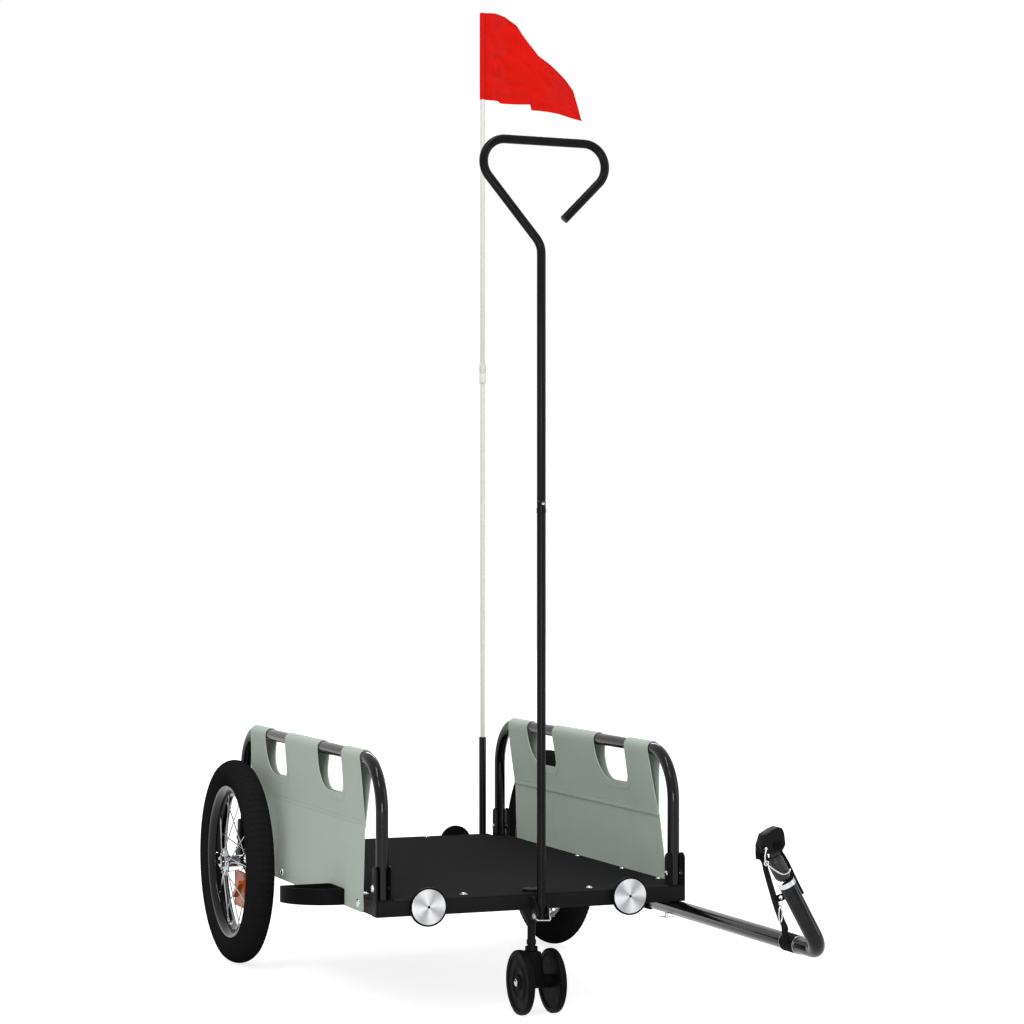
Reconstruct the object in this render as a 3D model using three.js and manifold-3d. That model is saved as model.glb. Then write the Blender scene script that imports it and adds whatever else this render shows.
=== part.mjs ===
// A flat-bed bicycle trailer: steel deck, fabric sides on tube hoops, two spoked wheels, a twin nose caster,
// a tilting pull handle, a hitch arm with a flexible joint, a safety strap and a pennant on a pole.
// Millimetres, +Z up. -Y is the towing direction and +X is the trailer's left side.
// The pieces are placed from the deck's centre on the ground, and the group is centred over its own box
// at the end.
import * as THREE from "three";
import { mergeVertices } from "three/addons/utils/BufferGeometryUtils.js";
import Module from "manifold-3d";

const wasm = await Module();
wasm.setup();

// Clearances.
const seatGap = 0.3; // between pieces that rest on or pass through each other
const runGap = 0.5; // between pieces that turn or slide
const overrun = 3; // by which a cutter passes the piece that it cuts

// How finely round shapes are cut.
const wheelSides = 32;
const hubSides = 16;
const casterSides = 16;
const tubeSides = 12;
const rodSides = 10;
const spokeSides = 4;
const wireSides = 5;
const reflectorSides = 16;
const bendSteps = 4;
const arcSteps = 5; // along a rounded corner of an outline

// Deck: a ring of box rails with cross members, under one load panel.
const deckWidth = 583; // over the side rails
const deckLength = 906;
const deckUnderside = 183; // above the ground
const railHeight = 26;
const railWidth = 25;
const railWall = 1.6;
const panelThickness = 3.7;
const crossMemberShares = [-0.27, 0.02, 0.6292]; // of half the deck's length, behind its centre
const drainRadius = 4;
const drainInset = 60; // from a rail's end to its drain hole

// Hoops that carry the fabric sides.
const hoopRadius = 11; // of the tube
const hoopWall = 1.5;
const hoopInset = 13.3; // from the deck's side to the tube's axis
const hoopFrontInset = 16.9; // from the deck's front edge to the front leg's axis
const hoopRearInset = 30.7;
const hoopTop = 463; // top of the tube above the ground
const hoopBend = 90;

// Brackets that hold the hoops' feet.
const bracketWall = 2.3;
const bracketDepth = 24; // along the deck
const bracketTop = 269.5;
const bracketCorner = 11;
const bracketFrontInset = 1; // from the deck's end to the bracket's edge
const bracketRearShift = 5; // from the rear leg's axis forwards to the bracket's middle
const hoopBoltHeight = 231.5;
const hoopBoltRadius = 3;
const hoopBoltHeadRadius = 5.5;
const hoopBoltHead = 3;

// Fabric sides: a loop over the hoop, sewn shut below it, with two hand holes.
const fabric = 1.8;
const fabricCheek = 6; // how far below the tube's axis the loop starts to narrow
const fabricSeamDepth = 5.4; // from the seam up to where the two layers part
const fabricSeamHeight = 338;
const fabricSeamOffset = 4.8; // outwards from the tube's axis
const fabricBottom = 182;
const fabricTopFrontInset = 91.1; // from the hoop's leg to the cloth's upright edge
const fabricTopRearInset = 85.3;
const fabricFootFrontInset = 57.1;
const fabricFootRearInset = 62.8;
const fabricCorner = 10; // of the foot's front corner
const handHoleShares = [[0.11369, 0.2649], [-0.27263, -0.11258]]; // of the deck's length, rear hole first
const handHoleBottom = 378;
const handHoleFrontCorner = 18;
const handHoleRearCorner = 60;
const fabricAxleSlot = 14; // half-width of the slot round the axle
const fabricAxleSlotTop = 212;
const loopSteps = 10;

// Wheels of 16 inches.
const wheelRadius = 200;
const wheelClear = 45.3; // from the deck's side to the tyre's middle
const axleInset = 168; // from the deck's rear edge
const tyreRadius = 28; // of the tyre's section
const tyreWall = 3;
const tyreOpening = 0.56; // half the angle at which the section is open, in radians
const tyreInnerOpening = 0.4;
const tyreBead = 2.7;
const tyreSteps = 6;
const tyreInnerSteps = 4;
const rimOuterRadius = 146.5;
const rimFloorRadius = 140.5;
const rimInnerRadius = 133.5;
const rimHalfWidth = 16.6;
const rimFlange = 2;
const rimFloorHalf = 12.6;
const rimInnerHalf = 9;
const spokeRadius = 1.3;
const spokeCount = 20;
const spokeTilt = 0.5; // radians round the hub between a spoke's ends
const spokeTipOffset = 3;
const wheelTurn = -35; // degrees about the axle, from where the reflector hangs straight down
const hubRadius = 14;
const hubFlangeRadius = 27;
const hubFlange = 3;
const hubFlangeOffset = 21; // from the hub's middle to a flange's inner face
const hubHalfWidth = 27;
const axleRadius = 6;
const axleSocketRadius = 8.7;
const axleSocketLength = 46;
const axleCollarRadius = 10;
const axleCapRadius = 11;
const axleCapLength = 7;
const buttonRadius = 4.2;
const buttonChamfer = 1;
const buttonStand = 4.5;
const buttonStroke = 4;
const buttonStem = 12;
const spokeReflectorAhead = 34; // from the axle to the plate's middle, as the wheel stands
const spokeReflectorBelow = 51.5;
const spokeReflectorWidth = 70;
const spokeReflectorHeight = 69;
const spokeReflectorThickness = 6;
const spokeReflectorBar = 58; // from the axle to the bar
const spokeReflectorBarLength = 56;
const spokeReflectorBarWidth = 8;
const spokeReflectorReach = 19;

// Wheel guards: flat-strip quarter hoops beside the deck.
const guardAhead = 477; // from the axle to the guard's corner
const guardReach = 95;
const guardDepth = 82;
const guardWall = 3;
const guardHeight = 29;
const guardSteps = 8;

// Nose caster.
const casterInset = 15; // from the deck's front edge to the stem's axis
const casterTrail = 23;
const casterRadius = 57;
const casterWheelWidth = 12;
const casterWheelOffset = 30;
const casterTyre = 9; // depth of the tread round the disc
const casterShoulder = 1.5;
const casterDish = 2.5;
const casterAxleRadius = 4;
const casterNutRadius = 6.5;
const casterNut = 5;
const casterHubRadius = 12;
const casterBodyHalf = 12;
const casterBodyNose = 4; // how far the body stands out in front of its stem
const casterBodyTop = 107.5;
const casterPivotDepth = 28;
const stemRadius = 7.2;
const stemFoot = 6; // radius inside the caster's body
const stemSpigot = 24;
const stemCollarRadius = 8.5;
const stemCollarLow = 119.5;
const stemCollarHigh = 127.8;
const stemFlangeRadius = 11.3;
const stemFlangeTop = 116;
const stemTop = 205;
const socketRadius = 16;
const socketProud = 1; // how far the socket stands out in front of the deck
const socketConeRadius = 23;
const socketConeFoot = 158;
const socketConeFootRadius = 8.9;
const capRadius = 16;
const capHeight = 5.5;
const capChamfer = 1.5;

// Pull handle: two tube sections in a bracket on the deck's front, tilting on a lock pin.
const handleAhead = 31; // from the deck's front edge to the pole's axis
const handlePinHeight = 176;
const handleRadius = 7.8;
const handleWall = 1.4;
const handleFoot = 168; // height of the lower section's end
const handleJoint = 902; // height where the two sections meet
const handleCollar = 0.6;
const handleCollarLow = 882;
const handleCollarHigh = 890;
const handleSpigot = 40;
const handleSpigotRoot = 10;
const handleBendHeight = 1351;
const handleBarHeight = 1532.7;
const handleLeftReach = 154.9; // from the pole to where the diagonal meets the bar
const handleRightReach = 177.5;
const handleEndX = 43;
const handleEndHeight = 1397;
const handleBend = 40;
const handleButtonHeight = 897.5;
const handleButtonRadius = 2.5;
const handleButtonStand = 1.8;
const handleButtonRoot = 1;
const handleBracketWall = 2.4;
const handleBracketStep = 4;
const handleBracketTop = 207;
const handleBracketLow = 167;
const handleBracketReach = 11; // past the pole's axis
const handlePinRadius = 3;
const handlePinHeadRadius = 5;
const handlePinHead = 4;
const handlePinReach = 14.6;
const handlePinDrop = 7.2;
const handleBowReach = 13; // in front of the pole's axis
const wireRadius = 1.1;
const wireBend = 3;

// Tow arm and its flexible hitch. Distances along the riser are measured from the elbow.
const armRadius = 14;
const armWall = 1.8;
const armInset = 7.5; // from the deck's side to the arm's axis
const armOverlap = 213; // under the deck, from its front edge
const armReach = 528.7; // from the deck's front edge to the elbow
const armBend = 32;
const armBendSteps = 6;
const riserLean = 29.3; // degrees from upright, towards the trailer's middle
const riserLength = 125.7;
const armPinInset = 58; // from the deck's front edge
const armPinRadius = 4;
const armPinFoot = 144;
const armPinReach = 18; // into the deck's rail
const clipHeight = 147.4;
const clipHalf = 15;
const clipTip = 7;
const clampInset = 143;
const clampLength = 36;
const clampWall = 3;
const ferruleLength = 8.3;
const ferruleLip = 0.5; // by which it stands out past the arm
const ferruleSpigot = 18;
const bootRadius = 13.4;
const bootPivot = 148.4; // along the riser
const bootShoulder = 174;
const bootNeck = 180;
const bootNeckRadius = 9;
const bootSteps = 6; // round the boot's foot
const tongueThickness = 9;
const tongueRoot = 8;
const tongueHead = 9; // radius round the coupler's pin
const couplerPivotX = 12; // across the riser
const couplerPivot = 196;
const couplerPinRadius = 4;
const couplerPinHead = 3;
const couplerPinHeadRadius = 7;
const couplerSide = 6; // thickness of its cheeks
const couplerWidth = 50;
const couplerLow = 174;
const couplerHeight = 56;
const couplerSlotTop = 208;
const couplerOutlineShares = [
  [-0.33, 0.464], [-0.22, 0.339], [0, 0.25], [0.16, 0.214], [0.28, 0.16], [0.406, 0.214], [0.502, 0.282],
  [0.64, 0.589], [0.65, 0.732], [0.56, 0.821], [0.34, 0.857], [0, 0.857], [-0.28, 0.634],
];
const lockPinX = -10.5;
const lockPinHeight = 203.7;
const lockPinRadius = 2.5;
const lockPinHead = 6.5;
const lockBowWidth = 34;
const lockBowDepth = 58;
const lockBowShares = [
  [0, 0], [-0.25, 0.19], [-0.32, 0.35], [-0.115, 0.638], [0.147, 0.874], [0.45, 0.933], [0.63, 0.87],
];
const lockBowSteps = 2;

// Safety strap, its band round the arm, and the hook on its end.
const strapWidth = 20;
const strapThickness = 2;
const strapBandInset = 95.8; // from the elbow
const strapBandWidth = 46.6;
const strapBehind = 19; // from the hitch's plane to the strap behind it
// Its climb from the band: inwards from the arm's axis, behind the elbow, and above the ground.
const strapClimb = [
  [15.8, 95.8, 172], [19.6, 90.7, 196], [32.8, 76.7, 212.3], [47.6, 61.7, 231.8], [62.6, 46.7, 255.2],
  [74.8, 36.7, 278], [82.7, 31.7, 295.8], [89.7, 27.7, 313.3],
];
// Its crossing behind the riser: across the riser, and along it.
const strapCrossing = [
  [-9, 188], [-1, 200], [10, 202], [14.5, 190], [16.5, 172], [18, 150], [17, 118], [17, 92],
];
const tailLeft = -23; // across the riser
const tailRight = 27;
const tailLow = 92; // along the riser
const tailWidth = 12;
const tailRise = 11; // of its left end
const tailEyeX = -12;
const tailEyeRadius = 3;
const hookWire = 2;
const hookRingRadius = 6;
const hookLength = 26;
const hookSlimShare = 0.5;

// Pennant and its pole.
const flagInset = 37; // from the deck's side
const flagBehind = 9; // from the deck's rear edge
const holderRadius = 7.6;
const holderBore = 5.4;
const holderTop = 418;
const holderFoot = 186;
const holderFloor = 4;
const holderPlate = 2.2;
const holderPlateWidth = 28;
const poleRadius = 4.9;
const poleJoint = 1191;
const poleTop = 1958;
const ferruleTubeLow = 1172;
const ferruleTubeHigh = 1212;
const ferruleTubeRadius = 6.9;
const flagTop = 1960;
const flagHoist = 184;
const flagSleeveWall = 1;
const flagThickness = 1.4;
const flagReach = 232.5; // from the pole's axis to the tip
const flagSwing = 13; // the largest swing to a side
const flagWaveShares = [
  [0.025, 0], [0.12, 0.35], [0.25, 0.3], [0.36, -0.5], [0.41, -0.45], [0.42, 0.05],
  [0.38, 0.45], [0.39, 0.85], [0.48, 1], [0.65, 0.5], [0.82, 0.15], [1, 0.45],
];
const flagOutlineShares = [
  [0, -0.002], [0.15, -0.006], [0.185, -0.027], [0.478, -0.02], [0.482, -0.087], [0.745, -0.113],
  [1, -0.165], [0.963, 0.002], [0.913, 0.182], [0.829, 0.292], [0.696, 0.417], [0.546, 0.549],
  [0.48, 0.658], [0.397, 0.804], [0.348, 0.896], [0.233, 0.984], [0.127, 1.01], [0, 1],
];

// Reflectors on the deck's ends.
const reflectorRadius = 34;
const reflectorLensRadius = 31;
const reflectorHeight = 198;
const reflectorDepth = 8;
const reflectorLip = 1.5;
const reflectorFrontLeftX = 181.8;
const reflectorFrontRightX = -200.8;
const reflectorRearX = 191;

// Sizes that follow from the ones above.
const deckHalf = deckWidth / 2;
const deckFront = -deckLength / 2;
const deckRear = deckLength / 2;
const railTop = deckUnderside + railHeight;
const panelFloor = railTop + seatGap;
const deckTop = panelFloor + panelThickness;
const wingInner = deckHalf + seatGap;
const hoopOffset = deckHalf - hoopInset;
const hoopFrontY = deckFront + hoopFrontInset;
const hoopRearY = deckRear - hoopRearInset;
const fabricTopFrontY = hoopFrontY + fabricTopFrontInset;
const fabricTopRearY = hoopRearY - fabricTopRearInset;
const fabricFootFrontY = hoopFrontY + fabricFootFrontInset;
const fabricFootRearY = hoopRearY - fabricFootRearInset;
const bracketInner = hoopOffset - hoopRadius - seatGap; // inner wing's face beside the tube
const bracketFloor = railTop + seatGap;
const wheelOffset = deckHalf + wheelClear;
const axleY = deckRear - axleInset;
const guardCornerY = axleY - guardAhead;
const casterStemY = deckFront + casterInset;
const casterAxleY = casterStemY - casterTrail;
const handleY = deckFront - handleAhead;
const armX = deckHalf - armInset;
const armZ = deckUnderside - seatGap - armRadius;
const armRearY = deckFront + armOverlap;
const armElbowY = deckFront - armReach;
const armPinY = deckFront + armPinInset;
const clampY = deckFront + clampInset;
const strapBandY = armElbowY + strapBandInset;
const flagX = deckHalf - flagInset;
const flagY = deckRear + flagBehind;
const riserTurn = -THREE.MathUtils.degToRad(riserLean);
const tailSlope = tailRise / (tailRight - tailLeft - tailWidth / 2);
const tailEyeZ = tailLow + tailWidth / 2 + tailSlope * (tailRight - tailEyeX);

// The place of a bracket's middle and of its hoop's leg, at the deck's front or rear.
const ends = {
  front: { middle: deckFront + bracketFrontInset + bracketDepth / 2, leg: hoopFrontY },
  rear: { middle: hoopRearY - bracketRearShift, leg: hoopRearY },
};

const X = new THREE.Vector3(1, 0, 0);
const Y = new THREE.Vector3(0, 1, 0);
const Z = new THREE.Vector3(0, 0, 1);

// Welds a geometry's corners, keeps only its positions and turns its faces outwards.
function closed(geometry) {
  const bare = geometry.clone();
  bare.deleteAttribute("normal");
  bare.deleteAttribute("uv");
  const welded = mergeVertices(bare, 1e-4);
  const at = welded.getAttribute("position");
  const index = welded.index.array;
  const [a, b, c] = [new THREE.Vector3(), new THREE.Vector3(), new THREE.Vector3()];
  let volume = 0;
  for (let i = 0; i < index.length; i += 3) {
    a.fromBufferAttribute(at, index[i]);
    b.fromBufferAttribute(at, index[i + 1]);
    c.fromBufferAttribute(at, index[i + 2]);
    volume += a.dot(b.cross(c));
  }
  if (volume < 0) {
    for (let i = 0; i < index.length; i += 3) {
      [index[i], index[i + 1]] = [index[i + 1], index[i]];
    }
  }
  return welded;
}

function toSolid(geometry) {
  const ready = closed(geometry);
  const vertProperties = new Float32Array(ready.getAttribute("position").array);
  const triVerts = new Uint32Array(ready.index.array);
  return new wasm.Manifold(new wasm.Mesh({ numProp: 3, vertProperties, triVerts }));
}

function toGeometry(solid) {
  const mesh = solid.getMesh();
  const geometry = new THREE.BufferGeometry();
  geometry.setAttribute("position", new THREE.BufferAttribute(mesh.vertProperties, 3));
  geometry.setIndex(new THREE.BufferAttribute(mesh.triVerts, 1));
  return geometry;
}

function join(...pieces) {
  return toGeometry(pieces.map(toSolid).reduce((whole, piece) => whole.add(piece)));
}

function cut(base, ...tools) {
  return toGeometry(tools.map(toSolid).reduce((whole, tool) => whole.subtract(tool), toSolid(base)));
}

function common(a, b) {
  return toGeometry(toSolid(a).intersect(toSolid(b)));
}

function block([lowX, highX], [lowY, highY], [lowZ, highZ]) {
  const geometry = new THREE.BoxGeometry(highX - lowX, highY - lowY, highZ - lowZ);
  return geometry.translate((lowX + highX) / 2, (lowY + highY) / 2, (lowZ + highZ) / 2);
}

// The polygon that stands for a circle.
function ring(radius, sides) {
  return Array.from({ length: sides }, (_, i) => {
    const angle = (2 * Math.PI * i) / sides;
    return new THREE.Vector2(radius * Math.cos(angle), radius * Math.sin(angle));
  });
}

function tubeOutline(outer, wall, sides = tubeSides) {
  const outline = new THREE.Shape(ring(outer, sides));
  outline.holes.push(new THREE.Path(ring(outer - wall, sides)));
  return outline;
}

// Turns a shape drawn in X and Y, extruded along Z, to lie in another plane.
const planes = {
  XY: new THREE.Matrix4(),
  XZ: new THREE.Matrix4().makeBasis(X, Z, Y.clone().negate()),
  YZ: new THREE.Matrix4().makeBasis(Y, Z, X),
};

// Extrudes an outline, drawn in one plane, between two places on the axis across that plane.
function prism(shape, plane, low, high) {
  const depth = high - low;
  const geometry = new THREE.ExtrudeGeometry(shape, { depth, bevelEnabled: false, curveSegments: arcSteps });
  const start = { XY: [0, 0, low], XZ: [0, high, 0], YZ: [low, 0, 0] };
  return geometry.applyMatrix4(planes[plane]).translate(...start[plane]);
}

// Turns a profile of [radius, height] pairs round an upright axis, or round X or Y.
function lathe(profile, sides, axis = Z) {
  const points = profile.map(([radius, height]) => new THREE.Vector2(radius, height));
  const geometry = new THREE.LatheGeometry(points, sides);
  const turn = new THREE.Quaternion().setFromUnitVectors(Y, axis);
  return geometry.applyQuaternion(turn);
}

// A pipe profile that closes on itself.
function pipeProfile(inner, outer, low, high) {
  return [[inner, low], [outer, low], [outer, high], [inner, high], [inner, low]];
}

function rod(radius, low, high, axis = Z, sides = rodSides) {
  return lathe([[0, low], [radius, low], [radius, high], [0, high]], sides, axis);
}

// A run of straight legs joined by round bends, with places only where it bends.
class BentPath extends THREE.Curve {
  constructor(corners, bend, steps = bendSteps) {
    super();
    this.places = [];
    this.headings = [];
    const legs = corners.slice(1).map((corner, i) => corner.clone().sub(corners[i]).normalize());
    this.put(corners[0], legs[0]);
    for (let i = 1; i < legs.length; i++) {
      this.round(corners[i], legs[i - 1], legs[i], bend, steps);
    }
    this.put(corners[legs.length], legs[legs.length - 1]);
  }

  put(place, heading) {
    this.places.push(place.clone());
    this.headings.push(heading.clone().normalize());
  }

  round(corner, before, after, bend, steps) {
    const turn = before.angleTo(after);
    const start = corner.clone().addScaledVector(before, -bend * Math.tan(turn / 2));
    const side = after.clone().addScaledVector(before, -before.dot(after)).normalize();
    const centre = start.clone().addScaledVector(side, bend);
    for (let i = 0; i <= steps; i++) {
      const angle = (turn * i) / steps;
      const place = centre.clone().addScaledVector(side, -bend * Math.cos(angle));
      place.addScaledVector(before, bend * Math.sin(angle));
      const heading = before.clone().multiplyScalar(Math.cos(angle)).addScaledVector(side, Math.sin(angle));
      this.put(place, heading);
    }
  }

  getSpacedPoints() {
    return this.places;
  }

  computeFrenetFrames() {
    const tangents = this.headings;
    const across = Math.abs(tangents[0].z) > Math.abs(tangents[0].x) ? X : Z;
    const normals = [across.clone().addScaledVector(tangents[0], -across.dot(tangents[0])).normalize()];
    for (let i = 1; i < tangents.length; i++) {
      const turn = new THREE.Quaternion().setFromUnitVectors(tangents[i - 1], tangents[i]);
      normals.push(normals[i - 1].clone().applyQuaternion(turn));
    }
    const binormals = tangents.map((tangent, i) => tangent.clone().cross(normals[i]));
    return { tangents, normals, binormals };
  }
}

// A path that holds the direction of a ribbon's width at each of its places.
class RibbonPath extends BentPath {
  constructor(places, widths) {
    super(places.slice(0, 2), 0);
    this.places = places;
    this.headings = places.map((_, i) => {
      const next = places[Math.min(i + 1, places.length - 1)];
      return next.clone().sub(places[Math.max(i - 1, 0)]).normalize();
    });
    this.widths = widths;
  }

  computeFrenetFrames() {
    const tangents = this.headings;
    const normals = tangents.map((tangent, i) =>
      this.widths[i].clone().addScaledVector(tangent, -tangent.dot(this.widths[i])).normalize(),
    );
    const binormals = tangents.map((tangent, i) => tangent.clone().cross(normals[i]));
    return { tangents, normals, binormals };
  }
}

function sweep(path, outline) {
  return new THREE.ExtrudeGeometry(outline, { steps: path.places.length - 1, extrudePath: path });
}

function vectors(places) {
  return places.map(([x, y, z]) => new THREE.Vector3(x, y, z));
}

const finishes = {
  blackSteel: { color: 0x141415, roughness: 0.35, metalness: 0.5 },
  blackTube: { color: 0x0d0d0e, roughness: 0.2, metalness: 0.4 },
  blackPanel: { color: 0x26262a, roughness: 0.6, metalness: 0 },
  steel: { color: 0xc8cacc, roughness: 0.3, metalness: 1 },
  chrome: { color: 0xdfe3e6, roughness: 0.1, metalness: 1 },
  sageFabric: { color: 0x9ba49c, roughness: 0.9, metalness: 0 },
  tyreRubber: { color: 0x161616, roughness: 0.8, metalness: 0 },
  blackPlastic: { color: 0x121213, roughness: 0.5, metalness: 0 },
  orangeLens: { color: 0xe07a10, roughness: 0.25, metalness: 0 },
  clearLens: { color: 0xd8d8d8, roughness: 0.25, metalness: 0.2 },
  redLens: { color: 0xb01010, roughness: 0.25, metalness: 0 },
  webbing: { color: 0x151515, roughness: 0.95, metalness: 0 },
  whitePole: { color: 0xe6e6e2, roughness: 0.4, metalness: 0 },
  redFlag: { color: 0xd8160e, roughness: 0.3, metalness: 0 },
};

function named(name, geometry, finish) {
  const mesh = new THREE.Mesh(closed(geometry), new THREE.MeshStandardMaterial(finishes[finish]));
  mesh.name = name;
  return mesh;
}

function mirrored(geometry, sign) {
  return sign < 0 ? geometry.clone().scale(-1, 1, 1) : geometry;
}

// Calls a maker for the trailer's right side, at -1, and for its left side, at +1.
function bothSides(maker) {
  return [["right", -1], ["left", 1]].flatMap(([side, sign]) => maker(side, sign));
}

// An outline of the deck with its bays, grown inwards from every wall by an inset.
function deckOutline(inset) {
  const outline = new THREE.Shape();
  const edgeX = deckHalf - inset;
  const edgeY = deckLength / 2 - inset;
  outline.moveTo(-edgeX, -edgeY).lineTo(edgeX, -edgeY).lineTo(edgeX, edgeY).lineTo(-edgeX, edgeY).closePath();
  const members = crossMemberShares.map((share) => (share * deckLength) / 2);
  const starts = [deckFront + railWidth, ...members.map((y) => y + railWidth / 2)];
  const ends = [...members.map((y) => y - railWidth / 2), deckRear - railWidth];
  const bayX = deckHalf - railWidth + inset;
  starts.forEach((start, i) => {
    const low = start - inset;
    const high = ends[i] + inset;
    const bay = new THREE.Path();
    bay.moveTo(-bayX, low).lineTo(bayX, low).lineTo(bayX, high).lineTo(-bayX, high).closePath();
    outline.holes.push(bay);
  });
  return outline;
}

function deckFrame() {
  const shell = prism(deckOutline(0), "XY", deckUnderside, railTop);
  const hollow = prism(deckOutline(railWall), "XY", deckUnderside + railWall, railTop - railWall);
  const drains = [-1, 1].map((sign) =>
    rod(drainRadius, deckUnderside - overrun, deckUnderside + railWall + overrun).translate(
      sign * (deckHalf - railWidth / 2),
      deckRear - drainInset,
      0,
    ),
  );
  const socket = lathe(
    [[0, socketConeFoot], [socketConeFootRadius, socketConeFoot], [socketConeRadius, deckUnderside],
      [socketRadius, deckUnderside], [socketRadius, deckTop], [0, deckTop]],
    tubeSides,
  );
  const socketBore = rod(stemRadius + seatGap, socketConeFoot - overrun, deckTop + overrun, Z, tubeSides);
  const pinBore = rod(armPinRadius + seatGap, deckUnderside - overrun, deckUnderside + railWall + overrun);
  const sockets = [-1, 1].map((sign) => {
    const ends = [sign * (deckHalf - axleSocketLength), sign * deckHalf].sort((a, b) => a - b);
    return rod(axleSocketRadius, ends[0], ends[1], X, tubeSides).translate(0, axleY, wheelRadius);
  });
  const bores = [-1, 1].map((sign) => {
    const reach = [deckHalf - axleSocketLength - overrun, deckHalf + overrun];
    const ends = reach.map((x) => sign * x).sort((a, b) => a - b);
    return rod(axleRadius + seatGap, ends[0], ends[1], X, tubeSides).translate(0, axleY, wheelRadius);
  });
  const welded = join(cut(shell, hollow), socket.translate(0, casterStemY, 0), ...sockets);
  const cutters = [socketBore.translate(0, casterStemY, 0), pinBore.translate(armX, armPinY, 0)];
  return named("deck_frame", cut(welded, ...cutters, ...drains, ...bores), "blackSteel");
}

// The load panel, notched at its corners so that the brackets and the hoops' legs stand on the rails.
function deckPanel() {
  const plate = block([-deckHalf, deckHalf], [deckFront, deckRear], [panelFloor, deckTop]);
  const through = [panelFloor - overrun, deckTop + overrun];
  const hole = rod(socketRadius + seatGap, ...through, Z, tubeSides);
  const notchX = [bracketInner - bracketWall - seatGap, deckHalf + overrun];
  const notchHalf = bracketDepth / 2 + seatGap;
  const legHalf = hoopRadius + seatGap;
  const frontEdge = Math.max(ends.front.middle + notchHalf, ends.front.leg + legHalf);
  const rearEdge = Math.min(ends.rear.middle - notchHalf, ends.rear.leg - legHalf);
  const front = block(notchX, [deckFront - overrun, frontEdge], through);
  const rear = block(notchX, [rearEdge, deckRear + overrun], through);
  const notches = [front, rear].flatMap((notch) => [notch, mirrored(notch, -1)]);
  return named("deck_panel", cut(plate, hole.translate(0, casterStemY, 0), ...notches), "blackPanel");
}

function sideHoop(side, sign) {
  const x = sign * hoopOffset;
  const foot = bracketFloor + bracketWall + seatGap;
  const top = hoopTop - hoopRadius;
  const corners = vectors([
    [x, hoopFrontY, foot],
    [x, hoopFrontY, top],
    [x, hoopRearY, top],
    [x, hoopRearY, foot],
  ]);
  const tube = sweep(new BentPath(corners, hoopBend), tubeOutline(hoopRadius, hoopWall));
  const reach = hoopRadius + overrun;
  const holes = [hoopFrontY, hoopRearY].map((y) =>
    rod(hoopBoltRadius + seatGap, -reach, reach, X).translate(x, y, hoopBoltHeight),
  );
  return named(`${side}_side_hoop`, cut(tube, ...holes), "blackTube");
}

// One wing of a bracket, with a rounded top, as an outline in Y and Z.
function wingOutline(low, middleY) {
  const near = middleY - bracketDepth / 2;
  const far = middleY + bracketDepth / 2;
  const shoulder = bracketTop - bracketCorner;
  const outline = new THREE.Shape();
  outline.moveTo(near, low).lineTo(far, low).lineTo(far, shoulder);
  outline.absarc(far - bracketCorner, shoulder, bracketCorner, 0, Math.PI / 2, false);
  outline.absarc(near + bracketCorner, shoulder, bracketCorner, Math.PI / 2, Math.PI, false);
  return outline.closePath();
}

function hoopBracket(side, sign, end) {
  const { middle, leg } = ends[end];
  const [near, far] = [bracketInner - bracketWall, wingInner + bracketWall];
  const outerWing = prism(wingOutline(deckUnderside, middle), "YZ", wingInner, far);
  const innerWing = prism(wingOutline(bracketFloor, middle), "YZ", near, bracketInner);
  const base = block(
    [near, far],
    [middle - bracketDepth / 2, middle + bracketDepth / 2],
    [bracketFloor, bracketFloor + bracketWall],
  );
  const hole = rod(hoopBoltRadius + seatGap, near - overrun, far + overrun, X);
  const whole = cut(join(outerWing, innerWing, base), hole.translate(0, leg, hoopBoltHeight));
  return named(`${side}_${end}_bracket`, mirrored(whole, sign), "blackSteel");
}

function hoopBolt(side, sign, end) {
  const inner = bracketInner - bracketWall - seatGap;
  const outer = wingInner + bracketWall + seatGap;
  const profile = [
    [0, inner - hoopBoltHead],
    [hoopBoltHeadRadius / 2, inner - hoopBoltHead],
    [hoopBoltHeadRadius, inner],
    [hoopBoltRadius, inner],
    [hoopBoltRadius, outer],
    [hoopBoltHeadRadius, outer],
    [hoopBoltHeadRadius / 2, outer + hoopBoltHead],
    [0, outer + hoopBoltHead],
  ];
  const bolt = lathe(profile, rodSides, X).translate(0, ends[end].leg, hoopBoltHeight);
  return named(`${side}_${end}_bolt`, mirrored(bolt, sign), "steel");
}

// The cloth's section across the trailer: a skirt outside the rail, then a loop round the hoop's tube.
function fabricSection() {
  const skirtX = deckHalf + seatGap;
  const seamX = hoopOffset + fabricSeamOffset;
  const middle = hoopTop - hoopRadius;
  const loop = (spread, offset) =>
    Array.from({ length: loopSteps + 1 }, (_, i) => {
      const angle = (Math.PI * i) / loopSteps;
      return [hoopOffset + spread * Math.cos(angle), middle + offset * Math.sin(angle)];
    });
  const near = hoopRadius + seatGap;
  const outside = loop(near + fabric, near + fabric);
  const inside = loop(near, near);
  const cheek = middle - fabricCheek;
  const section = new THREE.Shape();
  section.moveTo(skirtX, fabricBottom).lineTo(skirtX + fabric, fabricBottom);
  section.lineTo(skirtX + fabric, deckTop).lineTo(seamX + fabric / 2, fabricSeamHeight);
  section.lineTo(hoopOffset + near + fabric, cheek);
  outside.forEach(([x, z]) => section.lineTo(x, z));
  section.lineTo(hoopOffset - near - fabric, cheek);
  section.lineTo(seamX - fabric / 2, fabricSeamHeight).lineTo(skirtX, deckTop).closePath();
  const hollow = new THREE.Path();
  hollow.moveTo(seamX, fabricSeamHeight + fabricSeamDepth).lineTo(hoopOffset + near, cheek);
  inside.forEach(([x, z]) => hollow.lineTo(x, z));
  section.holes.push(hollow.lineTo(hoopOffset - near, cheek).closePath());
  return section;
}

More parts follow.
